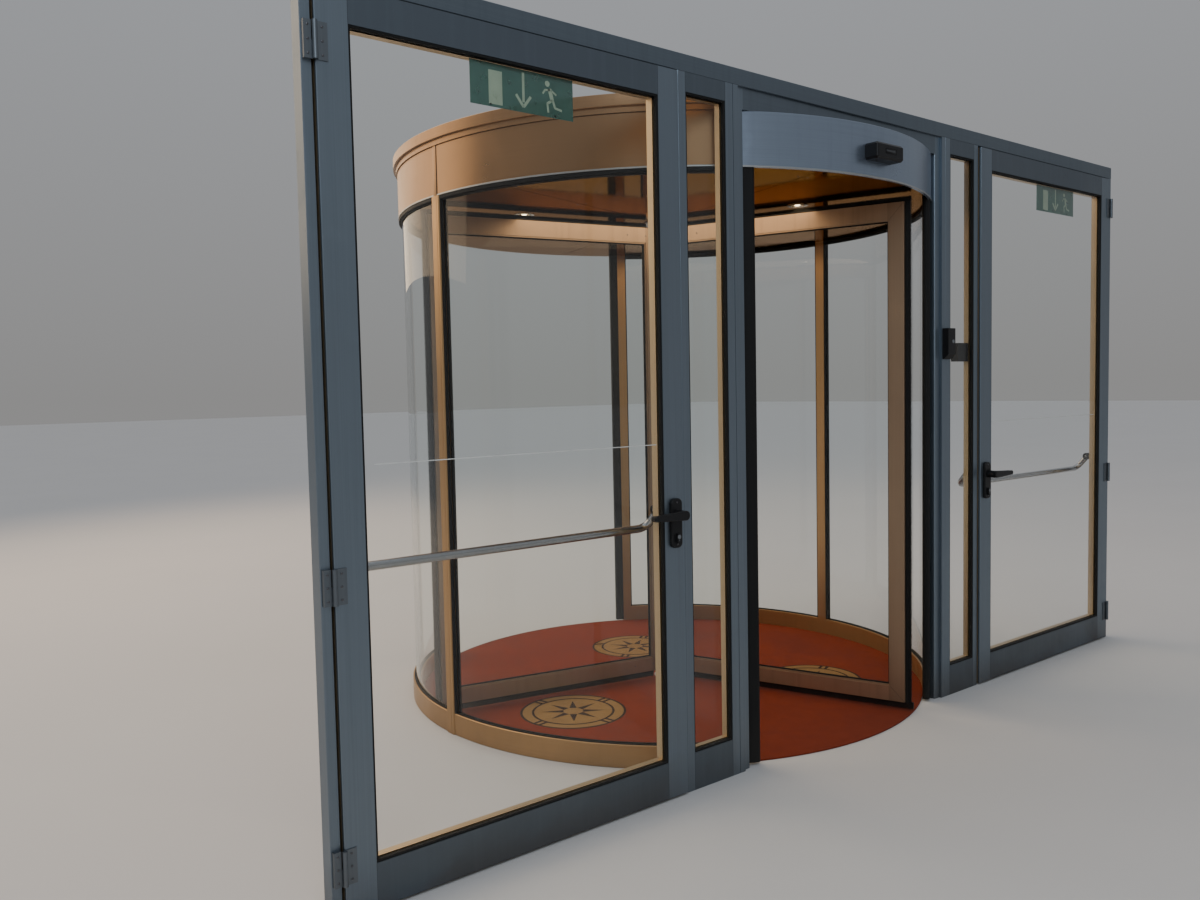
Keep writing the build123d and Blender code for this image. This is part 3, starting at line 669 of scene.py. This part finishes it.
def polished_steel(name, colour, roughness):
    """Stainless steel with fine turning marks and handling smears."""
    finish = Finish(name, Metallic=1.0, Roughness=roughness)
    turned = finish.grain((900, 60, 60), 2.0)
    smear = finish.noise(22.0, 5.0, 0.65, warp=0.5)
    tone = finish.blend(finish.range(smear, 0.4, 0.75, 0.0, 0.3), colour, shade(colour, 0.8))
    finish.drive("Base Color", tone)
    finish.drive("Roughness", finish.range(smear, 0.35, 0.7, roughness - 0.04, roughness + 0.08))
    finish.bump(turned, 0.02 * MM, 0.4)
    return finish.material


def lamp_glow(name, colour, strength):
    """Frosted lamp lens, softly uneven."""
    finish = Finish(name, Roughness=0.4, Emission_Strength=strength)
    frost = finish.noise(300.0, 2.0)
    tone = finish.blend(finish.range(frost, 0.4, 0.6), (0.9, 0.8, 0.6), (1, 0.93, 0.8))
    glow = finish.blend(finish.range(frost, 0.3, 0.7), shade(colour, 0.92), colour)
    finish.drive("Base Color", tone)
    finish.drive("Emission Color", glow)
    finish.bump(frost, 0.1 * MM, 0.5)
    return finish.material


def sign_film(name, colour, cover):
    """Printed translucent film: light comes through it, softly uneven."""
    finish = Finish(name, Roughness=0.3, Alpha=cover)
    cloud = finish.noise(28.0, 4.0)
    tone = finish.blend(finish.range(cloud, 0.3, 0.7), shade(colour, 0.85), colour)
    finish.drive("Base Color", tone)
    finish.drive("Roughness", finish.range(cloud, 0.3, 0.7, 0.25, 0.4))
    finish.bump(finish.noise(700.0, 2.0), 0.03 * MM, 0.4)
    return finish.material


# Tones and measures of the finishes
GREY = (0.185, 0.225, 0.265)
TAN = (0.46, 0.28, 0.13)
BROWN = (0.36, 0.25, 0.165)
# The lobby tan of the canopy and the cream of the frames' lobby side are painted warm lobby light
# on the silver and grey metal.
LOBBY_LIT_TAN = (0.33, 0.195, 0.10)
SILVER = (0.265, 0.32, 0.40)
LOBBY_LIT_CREAM = (0.54, 0.41, 0.25)
STREET_DIRT = (0.11, 0.085, 0.06)
BLACK_DUST = (0.04, 0.036, 0.03)
RIB_PITCH = 6 * MM
LOBBY_LIGHT_BEHIND_WALL = (LOBBY_LIT_TAN, WALL_LINE)

GREY_UP = extruded_metal("satin_grey_profile", GREY, 0.40)
# Head beam and head panel in a darker grey: painted shade.
GREY_HEAD_SHADED = extruded_metal("satin_grey_head_painted_shade", shade(GREY, 0.75), 0.40, "along")
GREY_SIDE = glazed_frame("satin_grey_sidelight", "sidelight")
GREY_DOOR = glazed_frame("satin_grey_door", "door")
DRUM_UP = extruded_metal("warm_drum_post", TAN, 0.36, dust=0.35)
DRUM_ROUND = extruded_metal("warm_drum_rail", TAN, 0.36, "round", dust=0.35)
# Lobby fascia, cornice and joint strips in the tan of painted warm lobby light.
LOBBY_ROUND = extruded_metal("lobby_lit_canopy", LOBBY_LIT_TAN, 0.34, "round")
# Paler rails on the wings: painted light.
WING = extruded_metal("warm_wing_frame", BROWN, 0.36, "wing", wing_light(), rail=1.3)
# Silver to the street, and behind the wall line the tan of painted warm lobby light.
CANOPY = extruded_metal("silver_street_canopy", SILVER, 0.31, "round", lobby_light=LOBBY_LIGHT_BEHIND_WALL)
HINGE = extruded_metal("dark_grey_hinge", (0.15, 0.17, 0.19), 0.42)
TRIM = extruded_metal("brushed_trim_metal", (0.42, 0.43, 0.43), 0.38)
GLASS = clear_glass("clear_glass", (0.975, 0.99, 0.982))
GASKET = moulded("black_gasket_rubber", (0.009, 0.009, 0.009), 0.6, depth=0.08 * MM)
PLASTIC = moulded("black_moulded_plastic", (0.012, 0.012, 0.013), 0.36, 2200.0, 0.03 * MM)
LABEL = moulded("grey_sensor_label", (0.05, 0.052, 0.055), 0.4)
WINDOW = moulded("dark_sensor_window", (0.004, 0.004, 0.005), 0.14, 900.0, 0.01 * MM)
BRISTLE = bristle_black("black_bristles")
CARPET = ribbed_carpet("red_brown_carpet", (0.15, 0.015, 0.001), (0.34, 0.046, 0.007))
INLAY = ribbed_carpet("tan_carpet_inlay", (0.24, 0.125, 0.04), (0.44, 0.27, 0.10))
INLAY_DARK = ribbed_carpet("dark_carpet_inlay", (0.022, 0.009, 0.006), (0.055, 0.022, 0.013))
CEILING = glossy_ceiling("golden_gloss_ceiling")
COVER = cover_sheet("dusty_cover_sheet")
STEEL = polished_steel("polished_steel", (0.38, 0.385, 0.39), 0.17)
SCREW = polished_steel("dark_screw_steel", (0.16, 0.16, 0.17), 0.34)
RING = polished_steel("lamp_ring_steel", (0.62, 0.55, 0.42), 0.24)
LAMP = lamp_glow("warm_lamp_lens", (1.0, 0.78, 0.48), 8.0)
# Dark hairlines of real joints, and the painted shadow beside the fascia's cover strips.
SEAM_AND_SHADOW = moulded("dark_joint_and_shadow_line", (0.02, 0.021, 0.023), 0.6)
EXIT_GREEN = sign_film("green_exit_film", (0.04, 0.13, 0.10), 0.8)
EXIT_PALE = sign_film("pale_exit_symbol", (0.40, 0.48, 0.35), 0.95)
ETCHED = sign_film("etched_glass_line", (0.8, 0.82, 0.8), 0.75)
LENS = moulded("grey_lens", (0.16, 0.17, 0.18), 0.16, 900.0, 0.02 * MM)

NODE_FINISHES = {
    GREY_UP: ("drum_post", "jamb", "door_stop"),
    GREY_HEAD_SHADED: ("head_beam", "drum_head_panel"),
    GREY_SIDE: ("sidelight_frame",),
    GREY_DOOR: ("door_frame",),
    DRUM_UP: ("wall_posts",),
    DRUM_ROUND: ("base_rail",),
    WING: ("wing_1_frame", "wing_2_frame", "wing_3_frame", "centre_column"),
    CANOPY: ("street_fascia",),
    LOBBY_ROUND: ("lobby_fascia", "lobby_cornice"),
    HINGE: ("jamb_hinges", "door_hinges"),
    TRIM: ("floor_trim", "floor_bearing", "ceiling_collar"),
    GLASS: ("glass",),
    GASKET: ("wall_gaskets", "safety_edges", "head_channel"),
    PLASTIC: ("door_fittings", "lever", "motion_sensors", "control_boxes"),
    BRISTLE: ("wing_brushes",),
    CARPET: ("floor_mat",),
    CEILING: ("ceiling_panel",),
    COVER: ("canopy_cover",),
    STEEL: ("push_bar",),
    RING: ("downlights",),
}


def dress_nodes():
    """Give every CAD node its finish, by the end of its name."""
    for name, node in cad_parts.items():
        for material, endings in NODE_FINISHES.items():
            if name.endswith(endings):
                node.data.materials[0] = material


# Pieces


def pane_gaskets():
    """Black wedge gaskets over the street beads, and slim ones on the other faces."""
    section = rounded_strip(GASKET_WIDTH, GASKET_DEPTH)
    slim = rounded_strip(SLIM_GASKET, SLIM_GASKET)
    back = [(0, 6), (0, 12), (1.2, 13.2), (4.5, 12.6)]
    wedge = millimetres(*back, (7, 10.5), (7.8, 5), (8, 0), (7, 0), (7, 6))
    for panel, body in flat_panels():
        low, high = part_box(f"{panel}_glass")
        left, right, bottom, top = flat_light(panel)
        rim = (left + DOOR_BEAD, right - DOOR_BEAD, bottom + DOOR_BEAD, top - DOOR_BEAD)
        strip = Builder(f"{panel}_gaskets")
        place = Matrix.Translation((0, low.y, 0))
        strip.border((left, right, bottom, top), mirrored(wedge), place)
        strip.border(rim, slim, Matrix.Translation((0, high.y, 0)))
        strip.done(body, GASKET)
    for wing, angle in WINGS:
        strip = Builder(f"{wing}_gaskets")
        for face, form in ((-WING_PANE_HALF, mirrored(section)), (WING_PANE_HALF, section)):
            place = about_axis(angle) @ Matrix.Translation((0, face, 0))
            strip.border(wing_light(), form, place)
        strip.done("rotor", GASKET)


def joint_lines():
    """Hairline joints where rails meet stiles, and the mitres of the wings."""
    width, proud, sunk, end_gap = 0.8 * MM, -0.15 * MM, 0.06 * MM, 1 * MM
    for panel, body in flat_panels():
        low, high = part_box(f"{panel}_frame")
        left, right, rail, head = flat_light(panel)
        lines = Builder(f"{panel}_joints")
        place = Matrix.Translation((0, low.y, 0))
        for x in (left, right):
            lines.bar((x, low.z + end_gap), (x, rail), width, proud, sunk, place)
            lines.bar((x, head), (x, high.z - end_gap), width, proud, sunk, place)
        lines.done(body, SEAM_AND_SHADOW)
    inner, outer, low, high = wing_light()
    frame_low, frame_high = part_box("wing_1_frame")
    corners = (
        ((WING_OUTER, frame_low.z), (outer + WING_BEAD, low - WING_BEAD)),
        ((WING_OUTER, frame_high.z), (outer + WING_BEAD, high + WING_BEAD)),
        ((WING_INNER, frame_low.z), (inner - WING_BEAD, low - WING_BEAD)),
        ((WING_INNER, frame_high.z), (inner - WING_BEAD, high + WING_BEAD)),
    )
    for wing, angle in WINGS:
        lines = Builder(f"{wing}_mitres")
        for face in (-1, 1):
            place = about_axis(angle) @ Matrix.Translation((0, face * WING_HALF, 0))
            for start, end in corners:
                lines.bar(start, end, width, -face * sunk, -face * proud, place)
        lines.done("rotor", SEAM_AND_SHADOW)


def wing_brushes():
    """Bristle brushes round the wings: a holder, a dense core and two rows of tufts."""
    low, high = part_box("wing_1_frame")
    runs = (
        ((BRUSH_START, low.z), (WING_OUTER, low.z), (0, -1), low.z - BRUSH_LOW),
        ((BRUSH_START, high.z), (WING_OUTER, high.z), (0, 1), BRUSH_HIGH - high.z),
        ((WING_OUTER, low.z), (WING_OUTER, high.z), (1, 0), BRUSH_TIP - WING_OUTER),
    )
    brush = Builder("wing_bristles")
    holders = Builder("brush_holders")
    corners = ((-1, -1), (1, -1), (1, 1), (-1, 1))
    sides = [(0, 1, 5, 4), (1, 2, 6, 5), (2, 3, 7, 6), (3, 0, 4, 7), (3, 2, 1, 0), (4, 5, 6, 7)]
    across = Vector((0, 1, 0))
    for _, angle in WINGS:
        place = about_axis(angle)
        for (x0, z0), (x1, z1), (dx, dz), length in runs:
            span = hypot(x1 - x0, z1 - z0)
            along = Vector(((x1 - x0) / span, 0, (z1 - z0) / span))
            out = Vector((dx, 0, dz))
            start = Vector((x0, 0, z0))
            reach = span + (length if dz else 0)
            side = across * CORE_HALF
            core = start + along * reach + out * (length * CORE_SHARE)
            brush.block(start - side, core + side, CORE_BEVEL, place)
            side = across * HOLDER_HALF
            holder = start + along * span + out * BRUSH_HOLDER
            holders.block(start - side, holder + side, HOLDER_BEVEL, place)
            for row in (-1, 1):
                for index in range(int(reach / BRISTLE_PITCH)):
                    step = (index + 0.5) * BRISTLE_PITCH
                    foot = start + along * step + across * row * BRISTLE_ROW
                    lean = along * random.uniform(-LEAN_ALONG, LEAN_ALONG)
                    lean += across * random.uniform(-LEAN_ACROSS, LEAN_ACROSS)
                    end = foot + lean + out * length * random.uniform(*BRISTLE_SHARES)
                    points = []
                    for middle, half in ((foot, BRISTLE_ROOT), (end, BRISTLE_TIP)):
                        for a, b in corners:
                            points.append(middle + along * a * half + across * b * half)
                    brush.add(points, sides, place)
    bristles = brush.done("rotor", BRISTLE)
    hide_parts("wing_brushes")
    holders.done("rotor", GASKET)


def door_screws():
    """Screw heads of the hinges, handle plates and push-bar brackets."""
    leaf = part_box("right_door_frame")
    hinge_face = leaf[0].y - HINGE_PLATE
    leaf_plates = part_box("right_door_hinges")
    jamb_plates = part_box("right_jamb_hinges")
    hinge_x = leaf_plates[1].x - KNUCKLE_RADIUS
    leaf_row = (leaf_plates[0].x + hinge_x - KNUCKLE_RADIUS) / 2
    jamb_row = (jamb_plates[1].x + hinge_x + KNUCKLE_RADIUS) / 2
    half = HINGE_LENGTH / 2
    heights = (leaf_plates[0].z + half, MID_HINGE, leaf_plates[1].z - half)
    handle_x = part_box("right_lever")[0].x + LEVER_HUB
    far_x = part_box("right_push_bar")[1].x - BAR_STUB
    for side, sign in SIDES:
        on_jamb = Builder(f"{side}_jamb_screws")
        on_leaf = Builder(f"{side}_door_screws")
        for height in heights:
            for rise in HINGE_RISES:
                for screws, row in ((on_jamb, jamb_row), (on_leaf, leaf_row)):
                    spot = (sign * row, hinge_face, height + rise)
                    screws.screw(facing(spot, STREET), HINGE_SCREW)
        for bracket_x in (handle_x, far_x):
            for rise in BRACKET_RISES:
                for shift in BRACKET_SHIFTS:
                    spot = (sign * bracket_x + shift, leaf[1].y + BRACKET_PLATE, BAR_PIVOT + rise)
                    on_leaf.screw(facing(spot, LOBBY), SMALL_SCREW)
        for rise in PLATE_RISES:
            spot = (sign * handle_x, leaf[0].y - HANDLE_PLATE, PLATE_MIDDLE + rise)
            on_leaf.screw(facing(spot, STREET), PLATE_SCREW)
        on_jamb.done("surround", SCREW)
        on_leaf.done(f"{side}_door", SCREW)


def drum_screws():
    """Screw heads of the wings, the canopy cover, the ceiling and the floor bearing."""
    low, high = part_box("wing_1_frame")
    rotor = Builder("wing_screws")
    for _, angle in WINGS:
        place = about_axis(angle)
        for face in (-1, 1):
            direction = place.to_3x3() @ Vector((0, face, 0))
            for radius in WING_SCREW_RADII:
                for level in (low.z + WING_SCREW_LOW, high.z - WING_SCREW_HIGH):
                    point = place @ Vector((radius, face * WING_HALF, level))
                    rotor.screw(facing(point, direction), PLATE_SCREW)
    rotor.done("rotor", SCREW)
    fixed = Builder("canopy_screws")
    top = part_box("canopy_cover")[1].z
    for turn in turns(COVER_SCREWS, pi / COVER_SCREWS):
        fixed.screw(facing(polar(COVER_CIRCLE, turn, top), UP), COVER_SCREW)
    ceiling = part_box("ceiling_panel")[0].z
    for seam in turns(LIGHT_COUNT, LIGHT_PHASE + pi / LIGHT_COUNT):
        for radius in CEILING_CIRCLES:
            for shift in CEILING_SHIFTS:
                spot = polar(radius, seam + shift / radius, ceiling)
                fixed.screw(facing(spot, DOWN), SMALL_SCREW)
    for turn in turns(BEARING_SCREWS, pi / BEARING_SCREWS):
        fixed.screw(facing(polar(BEARING_CIRCLE, turn, BEARING_FLANGE), UP), SMALL_SCREW)
    fixed.done("surround", SCREW)


def lamps():
    """Bulbs inside the downlights, and a rolled rim round each mouth."""
    lenses = Builder("downlight_lenses")
    rims = Builder("downlight_rims")
    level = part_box("downlights")[0].z
    drop = LAMP_LEVEL - level
    bulb = ((0.86, 0.35), (0.76, 0.7), (0.58, 0.92), (0.28, 1), (0, 1))
    profile = [(0, 0), (LAMP_RADIUS, 0), (LAMP_RADIUS, 1.5 * MM)]
    profile += [(out * LAMP_RADIUS, down * drop) for out, down in bulb]
    rim = [(1.6 * MM * cos(turn), 0.9 * MM * sin(turn)) for turn in turns(8)]
    for turn in turns(LIGHT_COUNT, LIGHT_PHASE):
        lenses.turned(profile, 32, facing(polar(LIGHT_CIRCLE, turn, LAMP_LEVEL), DOWN))
        rims.hoop(LAMP_MOUTH, rim, 48, facing(polar(LIGHT_CIRCLE, turn, level), DOWN))
    lenses.done("surround", LAMP)
    rims.done("surround", RING)


def canopy_details():
    """Cover strips over the joints of the fascias, a painted shadow beside each, and the bright
    rim on their lower edge.
    """
    low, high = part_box("street_fascia")
    strips = Builder("fascia_joint_strips")
    shadows = Builder("fascia_joint_painted_shadows")
    sunk, proud, lip = (DRUM_RADIUS + step * MM for step in (-2, 2.4, 0.4))
    for angle in (0, pi):
        place = about_axis(angle)
        strips.block((sunk, -JOINT_COVER, low.z), (proud, JOINT_COVER, high.z), 0.9 * MM, place)
        # A thin dark strip beside each cover strip: a painted shadow.
        edge = JOINT_COVER if angle else -JOINT_COVER
        shadows.block((sunk, edge, low.z), (lip, edge * 1.25, high.z), 0.2 * MM, place)
    strips.done("surround", LOBBY_ROUND)
    shadows.done("surround", SEAM_AND_SHADOW)
    rim = Builder("fascia_rim")
    section = millimetres((-0.4, 0), (1.1, 0), (1.6, 0.6), (1.6, 5), (-0.4, 7))
    rim.hoop(DRUM_RADIUS, section, 180, Matrix.Translation((0, 0, low.z)))
    rim.done("surround", TRIM)


def sensor_details():
    """Dark window and pale label of each motion sensor, and the reader's ringed lens."""
    low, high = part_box("motion_sensors")
    middle = (low.z + high.z) / 2
    window_half, window_rise, label_half = 33 * MM, 9 * MM, 28 * MM
    foot, head = middle - 2 * MM, middle + 5 * MM
    windows = Builder("sensor_windows")
    labels = Builder("sensor_labels")
    for face, direction in ((low.y, -1), (high.y, 1)):
        inside = face - direction * 1.5 * MM
        front = inside + direction * 1.1 * MM
        corner = (-window_half, inside, middle - window_rise)
        windows.block(corner, (window_half, front, middle + window_rise), 0.5 * MM)
        plate = front + direction * 0.3 * MM
        labels.block((-label_half, front, foot), (label_half, plate, head), THIN_BEVEL)
    windows.done("surround", WINDOW)
    labels.done("surround", LABEL)
    ring = Builder("reader_lens")
    x, z = READER_LENS
    profile = millimetres((0, 0), (8.6, 0), (8.6, 2.6), (7.2, 3.2), (6.4, 2.2), (4, 3.4), (0, 4))
    ring.turned(profile, 32, facing((x, READER_FACE + 2 * MM, z), STREET))
    ring.done("surround", LENS)


def key_rings():
    """Lighter ring and key slot on each lock cylinder."""
    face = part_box("right_door_frame")[0].y - HANDLE_PLATE - KEY_PROUD
    handle_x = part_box("right_lever")[0].x + LEVER_HUB
    profile = millimetres((0, 0), (7.6, 0), (7.6, 0.8), (6.4, 1.4), (5.6, 0.7), (0, 0.7))
    ring_level, slot_low, slot_high = (KEY_LEVEL + rise * MM for rise in (6, -9, -3))
    half, proud = 0.8 * MM, 1 * MM
    for side, sign in SIDES:
        lock = Builder(f"{side}_lock_ring")
        x = sign * handle_x
        lock.turned(profile, 28, facing((x, face, ring_level), STREET))
        lock.block((x - half, face - proud, slot_low), (x + half, face, slot_high), 0.3 * MM)
        lock.done(f"{side}_door", LENS)


def exit_symbol(symbol, middle, near, far):
    """Plain escape sign: a doorway, an arrow pointing down and a running figure.

    Each bar is its start, its end and its width in millimetres.
    """
    place = Matrix.Translation((middle, 0, FILM_LOW))
    doorway = ((-100, 8), (-100, 106), 48)
    arrow = (((0, 30), (0, 118), 9), ((-27, 50), (0, 16), 9), ((27, 50), (0, 16), 9))
    figure = (
        ((98, 86), (108, 50), 14),
        ((100, 83), (79, 80), 6),
        ((81, 80), (72, 68), 6),
        ((104, 82), (124, 70), 6),
        ((107, 52), (88, 40), 8),
        ((89, 41), (92, 14), 7),
        ((110, 52), (118, 30), 8),
        ((117, 31), (144, 26), 7),
    )
    for start, end, width in (doorway, *arrow, *figure):
        symbol.bar(*millimetres(start, end), width * MM, near, far, place)
    depth, radius = far - near, 9 * MM
    head = ((0, 0), (radius, 0), (radius, depth), (0, depth))
    symbol.turned(head, 20, facing((middle + 90 * MM, near, FILM_LOW + 100 * MM), LOBBY))


def exit_films():
    """Green film with its sign inside each leaf's glass, and the etched line across the glass."""
    stud = millimetres((0, 0), (3.2, 0), (3.2, 2.2), (2.4, 2.8), (0, 2.8))
    for side, sign in SIDES:
        low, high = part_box(f"{side}_door_glass")
        middle = FILM_MIDDLES[side]
        front = high.y + FILM_GAP
        back = front + FILM_THICKNESS
        film = Builder(f"{side}_exit_film")
        corner = (middle - FILM_HALF, front, FILM_LOW)
        film.block(corner, (middle + FILM_HALF, back, FILM_HIGH), 0.4 * MM)
        film.done(f"{side}_door", EXIT_GREEN)
        symbol = Builder(f"{side}_exit_symbol")
        exit_symbol(symbol, middle, high.y + 0.1 * MM, front)
        exit_symbol(symbol, middle, back, back + FILM_GAP)
        symbol.done(f"{side}_door", EXIT_PALE)
        studs = Builder(f"{side}_film_studs")
        for shift in STUD_SHIFTS:
            studs.turned(stud, 16, facing((middle + shift, high.y, FILM_LOW + STUD_RISE), LOBBY))
        studs.done(f"{side}_door", PLASTIC)
        line = Builder(f"{side}_etched_line")
        start, end = ((sign * x, ETCHED_LEVEL) for x in ETCHED_SPAN)
        line.bar(start, end, ETCHED_WIDTH, low.y - ETCHED_PROUD, low.y)
        line.done(f"{side}_door", ETCHED)


def floor_inlays():
    """Round carpet inlays: two rings, eight dark rays and pairs of ticks between the rings."""
    mat_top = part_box("floor_mat")[1].z
    ground = Builder("inlay_grounds")
    lines = Builder("inlay_lines")
    level = 0.35 * MM
    high = level + 0.3 * MM
    near, far = INLAY_TICK
    ray = ((RAY_FOOT, -RAY_HALF), (RAY_TIP, 0), (RAY_FOOT, RAY_HALF))
    for centre, spin in INLAYS:
        spot = Matrix.Translation((*centre, mat_top)) @ about_axis(spin)
        ground.turned(((0, 0), (INLAY_RADIUS, 0), (INLAY_RADIUS, level), (0, level)), 72, spot)
        for radius, half in INLAY_RINGS:
            ring = ((-half, level), (half, level), (half, high), (-half, high))
            lines.hoop(radius, ring, 72, spot)
        for turn in turns(8):
            lines.prism(ray, level, high, spot @ about_axis(turn))
        for turn in turns(4):
            place = spot @ about_axis(turn)
            for shift in TICK_SHIFTS:
                corner = (near, shift - TICK_HALF, level)
                lines.block(corner, (far, shift + TICK_HALF, high), THIN_BEVEL, place)
    ground.done("surround", INLAY)
    lines.done("surround", INLAY_DARK)


def door_seals():
    """Soft seals on the door stops, just short of the closed leaves."""
    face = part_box("right_door_stop")[0].y
    proud, half, lap, foot, bevel = 3.2 * MM, 3 * MM, 6 * MM, 12 * MM, 1.4 * MM
    for side, _ in SIDES:
        low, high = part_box(f"{side}_door_frame")
        seal = Builder(f"{side}_door_seal")
        left, right, top = low.x + lap, high.x - lap, high.z - lap
        for x in (left, right):
            seal.block((x - half, face - proud, foot), (x + half, face, top - half), bevel)
        seal.block((left, face - proud, top - half), (right, face, top + half), bevel)
        seal.done("surround", GASKET)


# Stage


def add_camera():
    """Camera at the photograph's place, turned by its yaw, pitch and roll."""
    level = cos(CAMERA_PITCH)
    forward = Vector((sin(CAMERA_YAW) * level, cos(CAMERA_YAW) * level, sin(CAMERA_PITCH)))
    right = Vector((cos(CAMERA_YAW), -sin(CAMERA_YAW), 0))
    up = right.cross(forward)
    rolled_right = cos(CAMERA_ROLL) * right + sin(CAMERA_ROLL) * up
    rolled_up = -sin(CAMERA_ROLL) * right + cos(CAMERA_ROLL) * up
    turn = Matrix((rolled_right, rolled_up, -forward)).transposed().to_4x4()
    data = bpy.data.cameras.new("photo_camera")
    data.lens = CAMERA_LENS
    data.sensor_width = CAMERA_SENSOR
    camera = add_object("photo_camera", data)
    camera.matrix_world = Matrix.Translation(CAMERA_PLACE) @ turn
    bpy.context.scene.camera = camera


def add_area(name, place, target, size, power, colour):
    """Soft light that shows only by what it lights and by its gleam on metal and glass."""
    data = bpy.data.lights.new(name, "AREA")
    data.shape = "RECTANGLE"
    data.size, data.size_y = size
    data.energy = power
    data.color = colour
    lamp = add_object(name, data)
    direction = Vector(target) - Vector(place)
    turn = direction.to_track_quat("-Z", "Y").to_matrix().to_4x4()
    lamp.matrix_world = Matrix.Translation(place) @ turn
    lamp.visible_camera = False
    lamp.visible_transmission = False


def add_overhead_light():
    """Wide soft light from above that keeps the whole floor one tone."""
    data = bpy.data.lights.new("overhead", "SUN")
    data.energy = 0.45
    data.angle = radians(80)
    data.color = (1.0, 0.97, 0.93)
    lamp = add_object("overhead", data)
    lamp.rotation_euler = (radians(-18), radians(-14), 0)


def add_world():
    """Even studio backdrop: the floor's tone at the horizon, a little cooler above."""
    world = bpy.data.worlds.new("soft_studio")
    world.use_nodes = True
    tree = world.node_tree
    background = tree.nodes["Background"]
    coords = tree.nodes.new("ShaderNodeTexCoord")
    split = tree.nodes.new("ShaderNodeSeparateXYZ")
    ramp = tree.nodes.new("ShaderNodeValToRGB")
    tree.links.new(coords.outputs["Generated"], split.inputs["Vector"])
    tree.links.new(split.outputs["Z"], ramp.inputs["Fac"])
    tree.links.new(ramp.outputs["Color"], background.inputs["Color"])
    horizon, above = ramp.color_ramp.elements
    horizon.color = (0.275, 0.272, 0.27, 1)
    above.position = 0.9
    above.color = (0.46, 0.49, 0.54, 1)
    bpy.context.scene.world = world


def add_floor():
    """Plain pale floor, a hair below the part."""
    mesh = bpy.data.meshes.new("studio_floor")
    reach = 60.0
    corners = [(-reach, -reach, 0), (reach, -reach, 0), (reach, reach, 0), (-reach, reach, 0)]
    mesh.from_pydata(corners, [], [(0, 1, 2, 3)])
    finish = Finish("studio_floor", Roughness=0.8)
    cloud = finish.noise(0.7, 3.0)
    finish.drive("Base Color", finish.blend(cloud, (0.56, 0.55, 0.54), (0.60, 0.59, 0.58)))
    mesh.materials.append(finish.material)
    floor = add_object("studio_floor", mesh)
    floor.location.z = -0.5 * MM


dress_nodes()
pane_gaskets()
joint_lines()
wing_brushes()
door_screws()
drum_screws()
lamps()
canopy_details()
sensor_details()
key_rings()
exit_films()
floor_inlays()
door_seals()

add_camera()
add_world()
add_floor()
add_area(
    "street_softbox",
    place=(-4.5, -5.5, 4.5),
    target=(0, -1, 1.2),
    size=(4.0, 3.0),
    power=110,
    colour=(0.80, 0.90, 1.0),
)
add_area(
    "lobby_softbox",
    place=(-2.5, 6.0, 5.4),
    target=(0, 0, 0.6),
    size=(10.0, 6.5),
    power=430,
    colour=(1.0, 0.74, 0.48),
)
add_overhead_light()
add_area(
    "drum_softbox",
    place=(0, 0, 2.2),
    target=(0, 0, 0),
    size=(1.5, 1.5),
    power=16,
    colour=(1.0, 0.76, 0.5),
)

# Light crosses up to a dozen faces of glass behind one another
cycles = bpy.context.scene.cycles
cycles.max_bounces = 24
cycles.transmission_bounces = 24
cycles.transparent_max_bounces = 24
